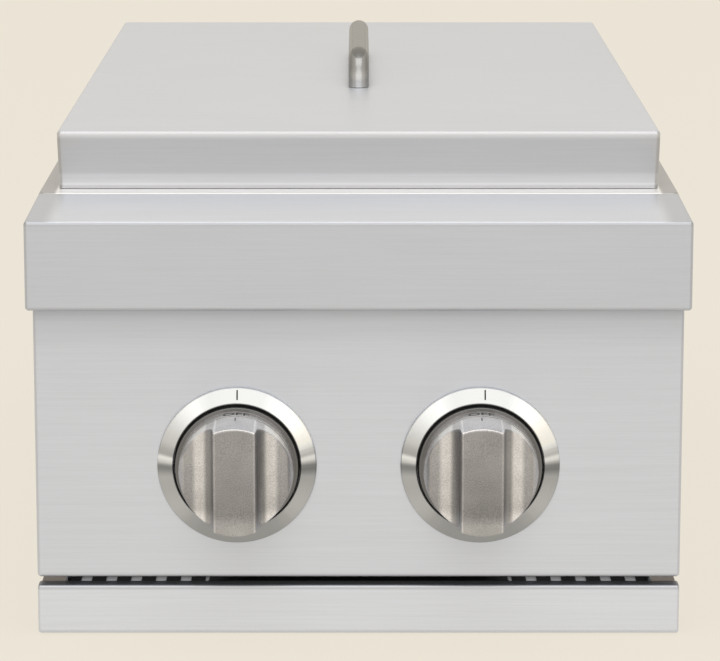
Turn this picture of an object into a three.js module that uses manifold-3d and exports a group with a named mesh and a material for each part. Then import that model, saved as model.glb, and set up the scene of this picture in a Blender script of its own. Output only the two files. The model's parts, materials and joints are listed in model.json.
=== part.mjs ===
import * as THREE from 'three';
import { mergeVertices } from 'three/addons/utils/BufferGeometryUtils.js';
import Module from 'manifold-3d';

// Built-in side burner with a front and a rear burner under a lift-off lid.
// Millimetres. X to the right, Y to the back, Z up; the front rail's face is at Y = 0 and the floor at Z = 0
// while the pieces are made, and the last lines move the whole to the middle of its footprint.

// Stock, clearances and cutters
const seatGap = 0.3; // between pieces that seat on each other
const sheet = 1.2; // stainless sheet
const overrun = 3; // how far a cutter runs past the face that it cuts

// Facets and steps of round forms
const bezelFacets = 32;
const knobFacets = 28;
const burnerFacets = 20;
const turnedFacets = 12;
const smallFacets = 8;
const bendSteps = 3;
const cornerSteps = 3;
const slotSteps = 2;
const halfTurn = Math.PI;
const fullTurn = 2 * Math.PI;

// Overall sizes, read off the photograph
const deckWidth = 343;
const totalDepth = 648; // from the rail's face to the deck's rear edge
const footGap = 0.5; // the tray front hangs this far above the floor
const trayFrontHeight = 24.6;
const ventGap = 5.2; // between the tray front and the control panel
const panelHeight = 145.7; // the panel's height in view, up to the rail
const railHeight = 44;
const shelfDepth = 81.8; // from the rail's face to the deck
const shelfRise = 4.1; // the shelf slopes up by this much on its way back
const foldStep = 0.5; // from the shelf up to the deck
const panelSetback = 12; // behind the rail's face
const panelSideInset = 2.8; // from the deck's side to the panel's
const panelReturn = 19; // depth of the panel's folded sides
const panelTuck = 20; // how far the panel runs up behind the rail
const trayFrontReturn = 8.5;
const trayFrontLip = 11.5; // height of the lip that the tray pan is fixed to
const foldRadius = 2.5; // outer radius of the folds in view
const railFoldRadius = 3;
const endFoldRadius = 2.2; // outer radius of the upright folds at either end

// Cabinet under the deck
const sideOverhang = 16; // from the cabinet's side to the deck's
const deckOverhang = 18.8; // from the rear panel to the deck's rear edge
const rimDrop = 14; // height of the deck's folded rim
const rimReturn = 12; // width of the rim's inward return, which rests on the counter
const deckEdgeRadius = 2;
const panelFlange = 11.7; // outward flange of a side panel behind the control panel
const topFlange = 7; // inward flange of a side panel under the deck
const panTurnUp = 12; // height of the bottom pan's folded sides
const ventPlatePast = 4; // how far the vent plate runs on behind the firewall
const firewallFlange = 10;

// Burner well and spill pan
const wellSideMargin = 9.5; // from the cabinet's side to the well
const wellFrontMargin = 28.2; // from the deck's front edge to the well
const wellRearMargin = 10; // from the rear panel to the well
const wellRadius = 30;
const panFlange = 8.3; // width of the pan's flange on the deck
const panLedgeDepth = 9; // from the deck's top down to the ledge that the grates rest on
const panLedge = 14.5; // width of the ledge
const panDepth = 44.6; // from the deck's top down to the pan's floor
const panSlope = 7; // how far the walls lean in below the ledge
const panFloorRound = 3.6;
const panCornerRadius = 14;
const drainLength = 26;
const drainWidth = 5;
const drainInset = 12;

// Lid and handle
const lidSideInset = 9.35; // from the deck's edge to the lid's side
const lidFrontInset = 14.1; // from the deck's front edge
const lidRearInset = 7.9;
const lidHeight = 28.7;
const lidLean = 0.95; // the lid's sides lean in by this much at the bottom
const lidEdgeRadius = 3;
const lidCornerRadius = 4;
const handleSpan = 152.4; // between the centres of its legs
const handleRise = 25; // from the lid's top to the top of the rod
const handleDiameter = 10;
const handleBend = 13;
const handleSides = 10;
const screwShank = 4;
const screwHead = 9;
const screwHeadHeight = 2.6;
const screwReach = 9; // how far a screw runs into its leg
const screwRoom = 0.4; // radial clearance round a screw

// Knobs, bezels and stems
const knobSpacing = 126.8;
const knobAbovePanelFoot = 61.9;
const bezelDiameter = 83;
const bezelOpening = 66;
const bezelHeight = 5;
const bezelEdge = 1.5; // height of the bezel's outer edge
const bezelRound = 0.8;
const knobDiameter = 60;
const knobStandOff = 4; // from the panel to the dial ring
const knobDialHeight = 12;
const knobProjection = 42; // from the panel to the front of the grip
const gripWidth = 21.8;
const gripInset = 1.6; // from the dial ring's edge in to the foot of the grip
const gripTaper = 2.1; // how much smaller the grip's radius is at its front
const gripRound = 1.6;
const gripCrown = 0.7;
// A scoop's concave section: shares of the way from the grip bar out to the rim and from the front to the foot
const scoopShares = [
  [0.06, 0.56],
  [0.13, 0.68],
  [0.31, 0.79],
  [0.58, 0.89],
  [1, 0.96],
];
const dialWall = 2.2;
const hubDiameter = 18;
const stemDiameter = 8;
const stemFlat = 1.2; // depth of the flat on the stem
const stemRoom = 0.35; // radial clearance round the stem
const stemInKnob = 21;
const stemInValve = 12;
const stemHoleDiameter = 14;
const pushTravel = 3;

// Valves and springs
const bonnetCupDiameter = 22;
const bonnetBore = 18;
const bonnetDepth = 16.2; // from the panel's back to the valve body
const bonnetWall = 1.5;
const bonnetFlangeWidth = 44;
const bonnetFlangeHeight = 26;
const bonnetScrewSpacing = 34;
const bonnetScrewHole = 4.2;
const washerInset = 2.1; // from the bonnet's front down to the washer
const washerThickness = 1.5;
const springWire = 1.1;
const springTurns = 3;
const springSides = 5;
const springStepsPerTurn = 8;
const springRadius = 6.3;
const valveWidth = 26;
const valveDepth = 26;
const valveTop = 15; // above the stem's axis
const valveFoot = 13; // below the stem's axis
const valveChamfer = 4;
const valveBossDiameter = 15;
const valveBossLength = 3;
const valveNippleDiameter = 13;
const manifoldDrop = 30; // from the stem's axis down to the manifold's
const manifoldDiameter = 21.3;
const manifoldBore = 15.8;
const manifoldPlug = 6; // thickness of the closed end
const manifoldOverhang = 24; // past the outer edge of the left valve
const manifoldReach = 26; // past the outer edge of the right valve
const orificeLength = 12;
const orificeDiameter = 10;
const orificeTip = 6;
const orificeTipLength = 4;
const jetDiameter = 1.6;
const piezoDiameter = 14;
const piezoLength = 32;
const piezoNeck = 4;
const piezoPinDiameter = 3;

// Gas inlet
const inletDiameter = 16;
const inletBore = 11;
const inletBend = 20;
const inletSideInset = 27.5; // from the cabinet's side to the inlet's axis
const inletSides = 10;
const fittingDiameter = 20.8;
const fittingNutAcross = 26;
const fittingNutLength = 8;
const fittingStub = 8.5; // beyond the nut
const fittingInside = 7; // inside the rear panel
const nutSides = 6;

// Burners
const capDiameter = 92;
const capHeight = 7;
const capEdge = 3.5;
const capUnderReach = 2;
const capToGrate = 11; // from the cap's top up to the grate's cross rod
const ringDiameter = 88;
const ringWall = 4;
const ringHeight = 14;
const ringBase = 2.2;
const ringBaseLap = 3;
const portCount = 12;
const portWidth = 2.4;
const portDepth = 6;
const bowlDepth = 24;
const bowlRim = 3;
const bowlWall = 2.5;
const bowlShoulderShare = 0.42; // of the bowl's depth, where its side turns in
const bowlShoulderRadiusShare = 0.88;
const bossDiameter = 40;
const bossHeight = 5;
const tubeDiameter = 26;
const tubeWall = 1.8;
const tubeSides = 10;
const tubeBend = 32;
const tubeStart = 14.4; // the mixing tube's mouth ahead of the firewall's rear face
const jetToMouth = 0.4; // from the jet's tip to the mixing tube's mouth
const tubeRunIn = 60; // where the tube leaves its straight run, ahead of its burner
const tubeRise = 30; // height of the upright run under the bowl
const mouthWall = 1.2;
const mouthWindowInner = 6.5;
const mouthWindowOuter = 10.4;
const mouthWindowAngle = halfTurn / 3;
const mouthHole = 11;
const shutterWall = 1;
const shutterSkirt = 9;
const supportWidth = 40;
const supportSheet = 2;
const supportTab = 20;
const burnerHoleMargin = 14; // from the ring to the edge of the pan's hole
const lipHeight = 5;
const electrodeOffset = 6.5; // from the ring to the electrode's axis
const electrodeDiameter = 6;
const electrodeCollar = 9;
const electrodeCollarHeight = 3;
const electrodeFoot = 24; // below its collar
const electrodeTip = 2;
const electrodeTipLength = 6;
const electrodeBelowCap = 3;
const earWidth = 12;
const earThickness = 3;
const leadDiameter = 3;
const leadSides = 8;
const leadBend = 7;
const leadRise = 14; // the upright run under the electrode
const leadHoleDiameter = 8;

// Grates
const grateRod = 8;
const grateRodSides = 6;
const grateSideRoom = 0.6;
const grateWeld = 1.2; // how far crossing rods sink into each other
const grateBarCount = 6;

// Vents, tray and runners
const slotCount = 5; // on each side of the vent plate
const slotPitch = 13.25;
const slotWidth = 5.7;
const slotLength = 40;
const slotEdgeMargin = 9.4; // from the plate's side edge to the outermost slot
const slotSetback = 3.9; // from the plate's front edge to the slots
const ventPlateDrop = 2.9; // from the tray front's top down to the vent plate
const coverSlotGap = 12.1; // from the cover's end to the nearest slot
const coverDepth = 34;
const coverUpstand = 3.7;
const coverSetback = 3.3;
const trayRimDrop = 3; // from the vent plate down to the tray's rim
const trayRim = 13; // width of the tray's rim
const trayWallLean = 2;
const trayFloorGap = 1.8; // from the bottom pan up to the tray
const trayCornerRadius = 8;
const traySideRoom = 1.8; // from the runner's wall to the tray's rim
const trayRearRoom = 27; // from the tray's end to the rear panel
const runnerLedge = 13;
const runnerFrontInset = 3;
const runnerRearInset = 8;
const runnerFootRoom = 0.5;
const rearSlotCount = 4;
const rearSlotRows = 2;
const rearSlotPitch = 44;
const rearSlotRowPitch = 22;
const rearSlotWidth = 30;
const rearSlotHeight = 6;
const rearSlotTop = 40; // from the panel's top edge down to the upper row
const floorSlotCount = 5;
const floorSlotLength = 200;
const floorSlotWidth = 12;

// Places that follow from the sizes
const cabinetWidth = deckWidth - 2 * sideOverhang;
const panelWidth = deckWidth - 2 * panelSideInset;
const trayFrontTop = footGap + trayFrontHeight;
const panelBottom = trayFrontTop + ventGap;
const railBottom = panelBottom + panelHeight;
const railTop = railBottom + railHeight;
const shelfBack = railTop + shelfRise;
const deckTop = shelfBack + foldStep;
const rimBottom = deckTop - rimDrop;
const panelBack = panelSetback + panelReturn;
const panelTop = railBottom + panelTuck;
const trayFrontBack = panelSetback + trayFrontReturn;
const deckMiddle = (shelfDepth + totalDepth) / 2;
const rearPanelBack = totalDepth - deckOverhang;
const rearPanelFront = rearPanelBack - sheet;
const cabinetFront = panelBack + seatGap;
const cabinetBack = rearPanelFront - seatGap;
const cabinetInner = cabinetWidth / 2 - sheet;
const cabinetTop = deckTop - sheet - seatGap;
const ventPlateTop = trayFrontTop - ventPlateDrop;
const ventPlateFront = trayFrontBack + seatGap;
const outermostSlot = cabinetInner - seatGap - slotEdgeMargin;
const coverHalfWidth = outermostSlot - (slotCount - 1) * slotPitch - coverSlotGap;
const wellFront = shelfDepth + wellFrontMargin;
const wellRear = rearPanelFront - wellRearMargin;
const wellMiddle = (wellFront + wellRear) / 2;
const wellHalfX = cabinetWidth / 2 - wellSideMargin;
const wellHalfY = (wellRear - wellFront) / 2;
const ledgeHalfX = wellHalfX - seatGap - sheet;
const ledgeHalfY = wellHalfY - seatGap - sheet;
const ledgeTop = deckTop - panLedgeDepth;
const panFloor = deckTop - panDepth;
const lidTop = deckTop + seatGap + lidHeight;
const lidMiddle = (shelfDepth + lidFrontInset + totalDepth - lidRearInset) / 2;
const lidHalfX = deckWidth / 2 - lidSideInset;
const lidHalfY = (totalDepth - lidRearInset - shelfDepth - lidFrontInset) / 2;
const knobHeight = panelBottom + knobAbovePanelFoot;
const panelRear = panelSetback + sheet;
const stemFront = panelSetback - knobStandOff - stemInKnob;
const valveFront = panelRear + bonnetDepth + seatGap;
const valveRear = valveFront + valveDepth;
const stemRear = valveFront + stemInValve;
const jetStart = valveRear + valveBossLength + seatGap;
const tubeMouth = jetStart + orificeLength + jetToMouth;
const firewallRear = tubeMouth + tubeStart;
const firewallFront = firewallRear - sheet;
const ventPlateRear = firewallRear + ventPlatePast;
const manifoldHeight = knobHeight - manifoldDrop;
const manifoldDepth = valveFront + valveDepth / 2;
const manifoldLeft = -knobSpacing / 2 - valveWidth / 2 - manifoldOverhang;
const manifoldRight = knobSpacing / 2 + valveWidth / 2 + manifoldReach;
const piezoHeight = knobHeight + valveTop + seatGap + piezoDiameter / 2;
const piezoFront = valveFront - piezoNeck;
const piezoRear = piezoFront + piezoLength;
const leadHeight = piezoHeight;
const grateHalfX = ledgeHalfX - grateSideRoom;
const grateHalfY = (2 * ledgeHalfY - 3 * grateSideRoom) / 4;
const grateCornerRadius = wellRadius - seatGap - sheet - grateSideRoom;
const grateOffset = grateHalfY + grateSideRoom / 2;
const grateRodHeight = ledgeTop + seatGap + grateRod / 2;
const barHeight = grateRodHeight + grateRod - grateWeld;
const capTop = grateRodHeight - grateRod / 2 - capToGrate;
const ringTop = capTop - capHeight - seatGap;
const ringFoot = ringTop - ringHeight;
const bowlTop = ringFoot - seatGap;
const bowlFoot = bowlTop - bowlDepth;
const supportTop = bowlFoot - bossHeight - seatGap;
const electrodeRadius = ringDiameter / 2 + electrodeOffset;
const earTop = bowlTop - bowlRim;
const burnerHoleRadius = ringDiameter / 2 + burnerHoleMargin;
const trayRimTop = ventPlateTop - sheet - trayRimDrop;
const trayRimHalfX = cabinetInner - seatGap - sheet - traySideRoom;
const trayFront = trayFrontBack + seatGap;
const trayRear = cabinetBack - trayRearRoom;
const inletX = cabinetWidth / 2 - inletSideInset;
const inletEnd = rearPanelBack + seatGap + fittingNutLength + fittingStub;

// Solids from meshes
const wasm = await Module();
wasm.setup();

// Keeps the corners alone, welds those that coincide, drops triangles without area and turns the skin outwards.
function closed(source) {
  const bare = new THREE.BufferGeometry();
  bare.setAttribute('position', source.getAttribute('position'));
  if (source.index) bare.setIndex(source.index);
  const welded = mergeVertices(bare);
  const corner = new THREE.Vector3();
  const next = new THREE.Vector3();
  const last = new THREE.Vector3();
  const kept = [];
  let volume = 0;
  for (let i = 0; i < welded.index.count; i += 3) {
    const [a, b, c] = [0, 1, 2].map((k) => welded.index.getX(i + k));
    if (a === b || b === c || c === a) continue;
    kept.push([a, b, c]);
    corner.fromBufferAttribute(welded.getAttribute('position'), a);
    next.fromBufferAttribute(welded.getAttribute('position'), b);
    last.fromBufferAttribute(welded.getAttribute('position'), c);
    volume += corner.dot(next.cross(last));
  }
  welded.setIndex(kept.flatMap(([a, b, c]) => (volume < 0 ? [a, c, b] : [a, b, c])));
  return welded;
}

function solidOf(geometry) {
  const skin = closed(geometry);
  return new wasm.Manifold(
    new wasm.Mesh({
      numProp: 3,
      vertProperties: new Float32Array(skin.getAttribute('position').array),
      triVerts: new Uint32Array(skin.index.array),
    }),
  );
}

function geometryOf(solid) {
  const mesh = solid.getMesh();
  const geometry = new THREE.BufferGeometry();
  geometry.setAttribute('position', new THREE.BufferAttribute(mesh.vertProperties, 3));
  geometry.setIndex(new THREE.BufferAttribute(mesh.triVerts, 1));
  return geometry;
}

function join(...pieces) {
  return geometryOf(pieces.map(solidOf).reduce((whole, piece) => whole.add(piece)));
}

function cut(base, ...cutters) {
  return geometryOf([base, ...cutters].map(solidOf).reduce((whole, cutter) => whole.subtract(cutter)));
}

// Flat outlines. A corner is [u, v] or [u, v, radius].
function filletPoints([u, v, radius], [uBefore, vBefore], [uAfter, vAfter], steps) {
  const corner = new THREE.Vector2(u, v);
  if (!radius) return [corner];
  const back = new THREE.Vector2(uBefore - u, vBefore - v).normalize();
  const ahead = new THREE.Vector2(uAfter - u, vAfter - v).normalize();
  const halfAngle = Math.acos(back.dot(ahead)) / 2;
  const centre = back.clone().add(ahead).normalize().multiplyScalar(radius / Math.sin(halfAngle)).add(corner);
  const start = back.clone().multiplyScalar(radius / Math.tan(halfAngle)).add(corner).sub(centre);
  const turn = (halfTurn - 2 * halfAngle) * Math.sign(ahead.cross(back));
  return Array.from({ length: steps + 1 }, (_, i) =>
    start.clone().rotateAround(new THREE.Vector2(), (turn * i) / steps).add(centre),
  );
}

function outline(corners, steps = cornerSteps) {
  const count = corners.length;
  const before = (i) => corners[(i + count - 1) % count];
  const after = (i) => corners[(i + 1) % count];
  return new THREE.Shape(corners.flatMap((corner, i) => filletPoints(corner, before(i), after(i), steps)));
}

function rectangle(uLow, vLow, uHigh, vHigh, radius = 0, steps = cornerSteps) {
  const corners = [
    [uLow, vLow, radius],
    [uHigh, vLow, radius],
    [uHigh, vHigh, radius],
    [uLow, vHigh, radius],
  ];
  return outline(corners, steps);
}

function slot(u, v, lengthU, lengthV) {
  const roundShare = 0.499;
  const radius = roundShare * Math.min(lengthU, lengthV);
  return rectangle(u - lengthU / 2, v - lengthV / 2, u + lengthU / 2, v + lengthV / 2, radius, slotSteps);
}

function circle(u, v, radius, facets) {
  return new THREE.Shape(
    Array.from({ length: facets }, (_, i) => {
      const angle = (fullTurn * i) / facets;
      return new THREE.Vector2(u + radius * Math.cos(angle), v + radius * Math.sin(angle));
    }),
  );
}

// The radius of a faceted hole whose flats clear a round piece by the seat gap
function clearing(radius, facets) {
  return (radius + seatGap) / Math.cos(halfTurn / facets);
}

function pierced(shape, ...holes) {
  shape.holes.push(...holes);
  return shape;
}

// Prisms. The shape's own axes are Y and Z along X, X and Z along Y, and X and Y along Z.
function extruded(shape, length, bevel) {
  const geometry = new THREE.ExtrudeGeometry(shape, {
    depth: length - 2 * bevel,
    bevelEnabled: bevel > 0,
    bevelThickness: bevel,
    bevelSize: bevel,
    bevelOffset: -bevel,
    bevelSegments: cornerSteps,
  });
  return geometry.translate(0, 0, bevel);
}

const axisX = new THREE.Vector3(1, 0, 0);
const axisY = new THREE.Vector3(0, 1, 0);
const axisZ = new THREE.Vector3(0, 0, 1);

function alongX(shape, from, to, bevel = 0) {
  const turn = new THREE.Matrix4().makeBasis(axisY, axisZ, axisX);
  return extruded(shape, to - from, bevel).applyMatrix4(turn).translate(from, 0, 0);
}

function alongY(shape, from, to, bevel = 0) {
  const turn = new THREE.Matrix4().makeBasis(axisX, axisZ, axisY.clone().negate());
  return extruded(shape, to - from, bevel).applyMatrix4(turn).translate(0, to, 0);
}

function alongZ(shape, from, to, bevel = 0) {
  return extruded(shape, to - from, bevel).translate(0, 0, from);
}

// Turned pieces from a profile of [radius, place along the axis]
function turnedY(profile, facets, x = 0, z = 0) {
  const points = profile.map(([radius, along]) => new THREE.Vector2(radius, along));
  return new THREE.LatheGeometry(points, facets).translate(x, 0, z);
}

function turnedZ(profile, facets, x = 0, y = 0) {
  return turnedY(profile, facets).rotateX(halfTurn / 2).translate(x, y, 0);
}

function loopedProfile(profile) {
  return [...profile, profile[0]];
}

// Skins over rings of points: a rectangle with round corners at each height
function roundedRing(middleY, halfX, halfY, radius, z) {
  const corners = [
    [halfX, halfY],
    [-halfX, halfY],
    [-halfX, -halfY],
    [halfX, -halfY],
  ];
  return corners.flatMap(([x, y], quarter) =>
    Array.from({ length: cornerSteps + 1 }, (_, i) => {
      const angle = (quarter + i / cornerSteps) * (halfTurn / 2);
      const centreX = x - Math.sign(x) * radius;
      const centreY = y - Math.sign(y) * radius;
      return [centreX + radius * Math.cos(angle), middleY + centreY + radius * Math.sin(angle), z];
    }),
  );
}

function skin(rings, looped = false) {
  const around = rings[0].length;
  const indices = [];
  const bands = looped ? rings.length : rings.length - 1;
  for (let ring = 0; ring < bands; ring += 1) {
    const lower = ring * around;
    const upper = ((ring + 1) % rings.length) * around;
    for (let i = 0; i < around; i += 1) {
      const next = (i + 1) % around;
      indices.push(lower + i, lower + next, upper + next, lower + i, upper + next, upper + i);
    }
  }
  if (!looped) {
    const top = (rings.length - 1) * around;
    for (let i = 1; i < around - 1; i += 1) {
      indices.push(0, i + 1, i, top, top + i, top + i + 1);
    }
  }
  const geometry = new THREE.BufferGeometry();
  geometry.setAttribute('position', new THREE.Float32BufferAttribute(rings.flat(2), 3));
  geometry.setIndex(indices);
  return geometry;
}

// Insets and drops along a rounded edge, from its flat top to its upright side
function roundedEdge(radius) {
  return Array.from({ length: cornerSteps + 1 }, (_, i) => {
    const angle = (i / cornerSteps) * (halfTurn / 2);
    return [radius * (1 - Math.sin(angle)), radius * (1 - Math.cos(angle))];
  });
}

// A run of straight lines joined by round bends, with stations only where the direction changes
class Route extends THREE.Curve {
  constructor(corners, bendRadius) {
    super();
    this.stations = [{ point: corners[0], tangent: corners[1].clone().sub(corners[0]).normalize() }];
    corners.slice(1, -1).forEach((corner, i) => this.addBend(corners[i], corner, corners[i + 2], bendRadius));
    const end = corners[corners.length - 1];
    this.stations.push({ point: end, tangent: end.clone().sub(corners[corners.length - 2]).normalize() });
  }

  addBend(before, corner, after, radius) {
    const into = corner.clone().sub(before).normalize();
    const out = after.clone().sub(corner).normalize();
    const turn = into.angleTo(out);
    const start = corner.clone().addScaledVector(into, -radius * Math.tan(turn / 2));
    const inwards = out.clone().addScaledVector(into, -into.dot(out)).normalize();
    for (let i = 0; i <= bendSteps; i += 1) {
      const angle = (turn * i) / bendSteps;
      const point = start.clone().addScaledVector(into, radius * Math.sin(angle));
      point.addScaledVector(inwards, radius * (1 - Math.cos(angle)));
      const tangent = into.clone().multiplyScalar(Math.cos(angle)).addScaledVector(inwards, Math.sin(angle));
      this.stations.push({ point, tangent });
    }
  }

  getSpacedPoints() {
    return this.stations.map((station) => station.point);
  }

  getTangentAt(share, target = new THREE.Vector3()) {
    return target.copy(this.stations[Math.round(share * (this.stations.length - 1))].tangent);
  }
}

function tube(corners, bendRadius, radius, sides, boreRadius = 0) {
  const route = new Route(corners.map((corner) => new THREE.Vector3(...corner)), bendRadius);
  const section = circle(0, 0, radius, sides);
  if (boreRadius) pierced(section, circle(0, 0, boreRadius, sides));
  return new THREE.ExtrudeGeometry(section, { extrudePath: route, steps: route.stations.length - 1 });
}

// A helix round an axis along Y
class Helix extends THREE.Curve {
  constructor(x, z, radius, start, end, turns) {
    super();
    Object.assign(this, { x, z, radius, start, end, turns });
  }

  getPoint(share, target = new THREE.Vector3()) {
    const angle = fullTurn * this.turns * share;
    const along = this.start + (this.end - this.start) * share;
    return target.set(this.x + this.radius * Math.cos(angle), along, this.z + this.radius * Math.sin(angle));
  }
}

// Materials
const brushedSteel = { color: 0xc9cacb, roughness: 0.38, metalness: 1 };
const polishedSteel = { color: 0xb9babb, roughness: 0.25, metalness: 1 };
const castMetal = { color: 0xa9a39b, roughness: 0.42, metalness: 1 };
const zincSteel = { color: 0x9aa0a5, roughness: 0.5, metalness: 1 };
const ventSteel = { color: 0x3a3b3d, roughness: 0.6, metalness: 0.8 };
const brass = { color: 0xb88d3c, roughness: 0.35, metalness: 1 };
const aluminium = { color: 0xaeb0b2, roughness: 0.55, metalness: 1 };
const blackEnamel = { color: 0x1d1e1f, roughness: 0.45, metalness: 0.1 };
const springSteel = { color: 0x8d8f92, roughness: 0.35, metalness: 1 };
const ceramic = { color: 0xe9e6de, roughness: 0.6, metalness: 0 };
const silicone = { color: 0xd8d2c6, roughness: 0.8, metalness: 0 };
const plastic = { color: 0x232425, roughness: 0.6, metalness: 0 };

const part = new THREE.Group();
part.name = 'built_in_side_burner';

function add(name, geometry, finish) {
  const skinned = closed(geometry);
  skinned.computeVertexNormals();
  const mesh = new THREE.Mesh(skinned, new THREE.MeshStandardMaterial(finish));
  mesh.name = name;
  part.add(mesh);
}

// Front rail: a folded face and shelf with end caps, open to the back and below
function frontRail() {
  const back = shelfDepth - seatGap;
  const outer = outline([
    [0, railBottom, railFoldRadius],
    [0, railTop, railFoldRadius],
    [back, shelfBack],
    [back, rimBottom],
    [panelBack, rimBottom, railFoldRadius],
    [panelBack, railBottom],
  ]);
  const inner = outline([
    [sheet, railBottom + sheet],
    [sheet, railTop - sheet],
    [back, shelfBack - sheet],
    [back + overrun, shelfBack - sheet],
    [back + overrun, railBottom - overrun],
    [panelSetback - seatGap, railBottom - overrun],
    [panelSetback - seatGap, railBottom + sheet],
  ]);
  const half = deckWidth / 2;
  return cut(alongX(outer, -half, half, endFoldRadius), alongX(inner, sheet - half, half - sheet));
}

// Control panel: a tray folded back on all four sides, with a hole for each stem
function controlPanel() {
  const outer = outline([
    [panelSetback, panelBottom, foldRadius],
    [panelSetback, panelTop, foldRadius],
    [panelBack, panelTop],
    [panelBack, panelBottom],
  ]);
  const inner = rectangle(panelRear, panelBottom + sheet, panelBack + overrun, panelTop - sheet);
  const half = panelWidth / 2;
  const holes = [-1, 1].map((side) =>
    alongY(
      circle((side * knobSpacing) / 2, knobHeight, stemHoleDiameter / 2, turnedFacets),
      panelSetback - overrun,
      panelRear + overrun,
    ),
  );
  return cut(alongX(outer, -half, half, endFoldRadius), alongX(inner, sheet - half, half - sheet), ...holes);
}

// Tray front: the strip under the vent gap, with a lip behind for the tray pan
function trayFrontStrip() {
  const outer = outline([
    [panelSetback, footGap, foldRadius],
    [panelSetback, trayFrontTop, foldRadius],
    [trayFrontBack, trayFrontTop],
    [trayFrontBack, footGap],
  ]);
  const inner = outline([
    [panelRear, footGap + sheet],
    [panelRear, trayFrontTop - sheet],
    [trayFrontBack + overrun, trayFrontTop - sheet],
    [trayFrontBack + overrun, footGap + trayFrontLip],
    [trayFrontBack - sheet, footGap + trayFrontLip],
    [trayFrontBack - sheet, footGap + sheet],
  ]);
  const half = panelWidth / 2;
  return cut(alongX(outer, -half, half, endFoldRadius), alongX(inner, sheet - half, half - sheet));
}

// Deck: a plate round the burner well, its rim folded down and in
function deckFrame() {
  const half = deckWidth / 2;
  const halfY = (totalDepth - shelfDepth) / 2;
  const ring = (inset, z, radius) => roundedRing(deckMiddle, half - inset, halfY - inset, radius, z);
  const well = (z) => roundedRing(wellMiddle, wellHalfX, wellHalfY, wellRadius, z);
  const inside = deckEdgeRadius - sheet;
  return skin(
    [
      well(deckTop),
      ...roundedEdge(deckEdgeRadius).map(([inset, drop]) =>
        ring(inset, deckTop - drop, 2 * deckEdgeRadius - inset),
      ),
      ring(0, rimBottom, 2 * deckEdgeRadius),
      ring(rimReturn, rimBottom, inside),
      ring(rimReturn, rimBottom + sheet, inside),
      ring(sheet, rimBottom + sheet, inside),
      ring(sheet, deckTop - sheet, inside),
      well(deckTop - sheet),
    ],
    true,
  );
}

// Side panel: a wall with an outward flange behind the control panel and an inward one under the deck
function sidePanel(side) {
  const outerX = cabinetWidth / 2;
  const wall = outline([
    [side * outerX, 0],
    [side * outerX, cabinetTop, foldRadius],
    [side * (outerX - topFlange - sheet), cabinetTop],
    [side * (outerX - topFlange - sheet), cabinetTop - sheet],
    [side * cabinetInner, cabinetTop - sheet],
    [side * cabinetInner, 0],
  ]);
  const flangeStart = Math.min(side * cabinetInner, side * (outerX + panelFlange));
  const flange = alongX(
    rectangle(cabinetFront, panelBottom, cabinetFront + sheet, rimBottom - seatGap),
    flangeStart,
    flangeStart + sheet + panelFlange,
  );
  const fromDeck = shelfDepth + rimReturn + seatGap;
  const front = alongX(
    rectangle(cabinetFront - overrun, rimBottom - seatGap, fromDeck, deckTop + overrun),
    -deckWidth / 2,
    deckWidth / 2,
  );
  return join(cut(alongY(wall, cabinetFront, cabinetBack), front), flange);
}

// Rear panel with two rows of slots and the hole of the gas inlet
function rearPanel() {
  const half = cabinetWidth / 2;
  const slots = [];
  for (let row = 0; row < rearSlotRows; row += 1) {
    for (let column = 0; column < rearSlotCount; column += 1) {
      const x = (column - (rearSlotCount - 1) / 2) * rearSlotPitch;
      const z = cabinetTop - rearSlotTop - row * rearSlotRowPitch;
      slots.push(slot(x, z, rearSlotWidth, rearSlotHeight));
    }
  }
  const inlet = circle(inletX, manifoldHeight, clearing(fittingDiameter / 2, turnedFacets), turnedFacets);
  return alongY(pierced(rectangle(-half, 0, half, cabinetTop), ...slots, inlet), rearPanelFront, rearPanelBack);
}

// Bottom pan with turned-up sides and long air slots
function bottomPan() {
  const half = cabinetInner - seatGap;
  const section = outline([
    [-half, 0],
    [half, 0],
    [half, panTurnUp],
    [half - sheet, panTurnUp],
    [half - sheet, sheet],
    [sheet - half, sheet],
    [sheet - half, panTurnUp],
    [-half, panTurnUp],
  ]);
  const middle = (cabinetFront + cabinetBack) / 2;
  const pitch = (2 * half) / (floorSlotCount + 1);
  const slots = Array.from({ length: floorSlotCount }, (_, i) =>
    alongZ(slot((i + 1) * pitch - half, middle, floorSlotWidth, floorSlotLength), -overrun, sheet + overrun),
  );
  return cut(alongY(section, cabinetFront, cabinetBack), ...slots);
}

// Firewall between the valves and the burners, folded forward at its sides
function firewall() {
  const half = cabinetInner - seatGap;
  const section = outline([
    [-half, firewallRear],
    [-half, firewallFront - firewallFlange],
    [sheet - half, firewallFront - firewallFlange],
    [sheet - half, firewallFront],
    [half - sheet, firewallFront],
    [half - sheet, firewallFront - firewallFlange],
    [half, firewallFront - firewallFlange],
    [half, firewallRear],
  ]);
  const through = (x, z, radius) =>
    alongY(circle(x, z, radius, turnedFacets), firewallFront - overrun, firewallRear + overrun);
  const holes = [-1, 1].flatMap((side) => {
    const x = (side * knobSpacing) / 2;
    return [
      through(x, knobHeight, clearing(tubeDiameter / 2, turnedFacets)),
      through(x, leadHeight, leadHoleDiameter / 2),
    ];
  });
  const inlet = through(inletX, manifoldHeight, clearing(inletDiameter / 2, turnedFacets));
  return cut(alongZ(section, ventPlateTop + seatGap, rimBottom - seatGap), ...holes, inlet);
}

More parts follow.
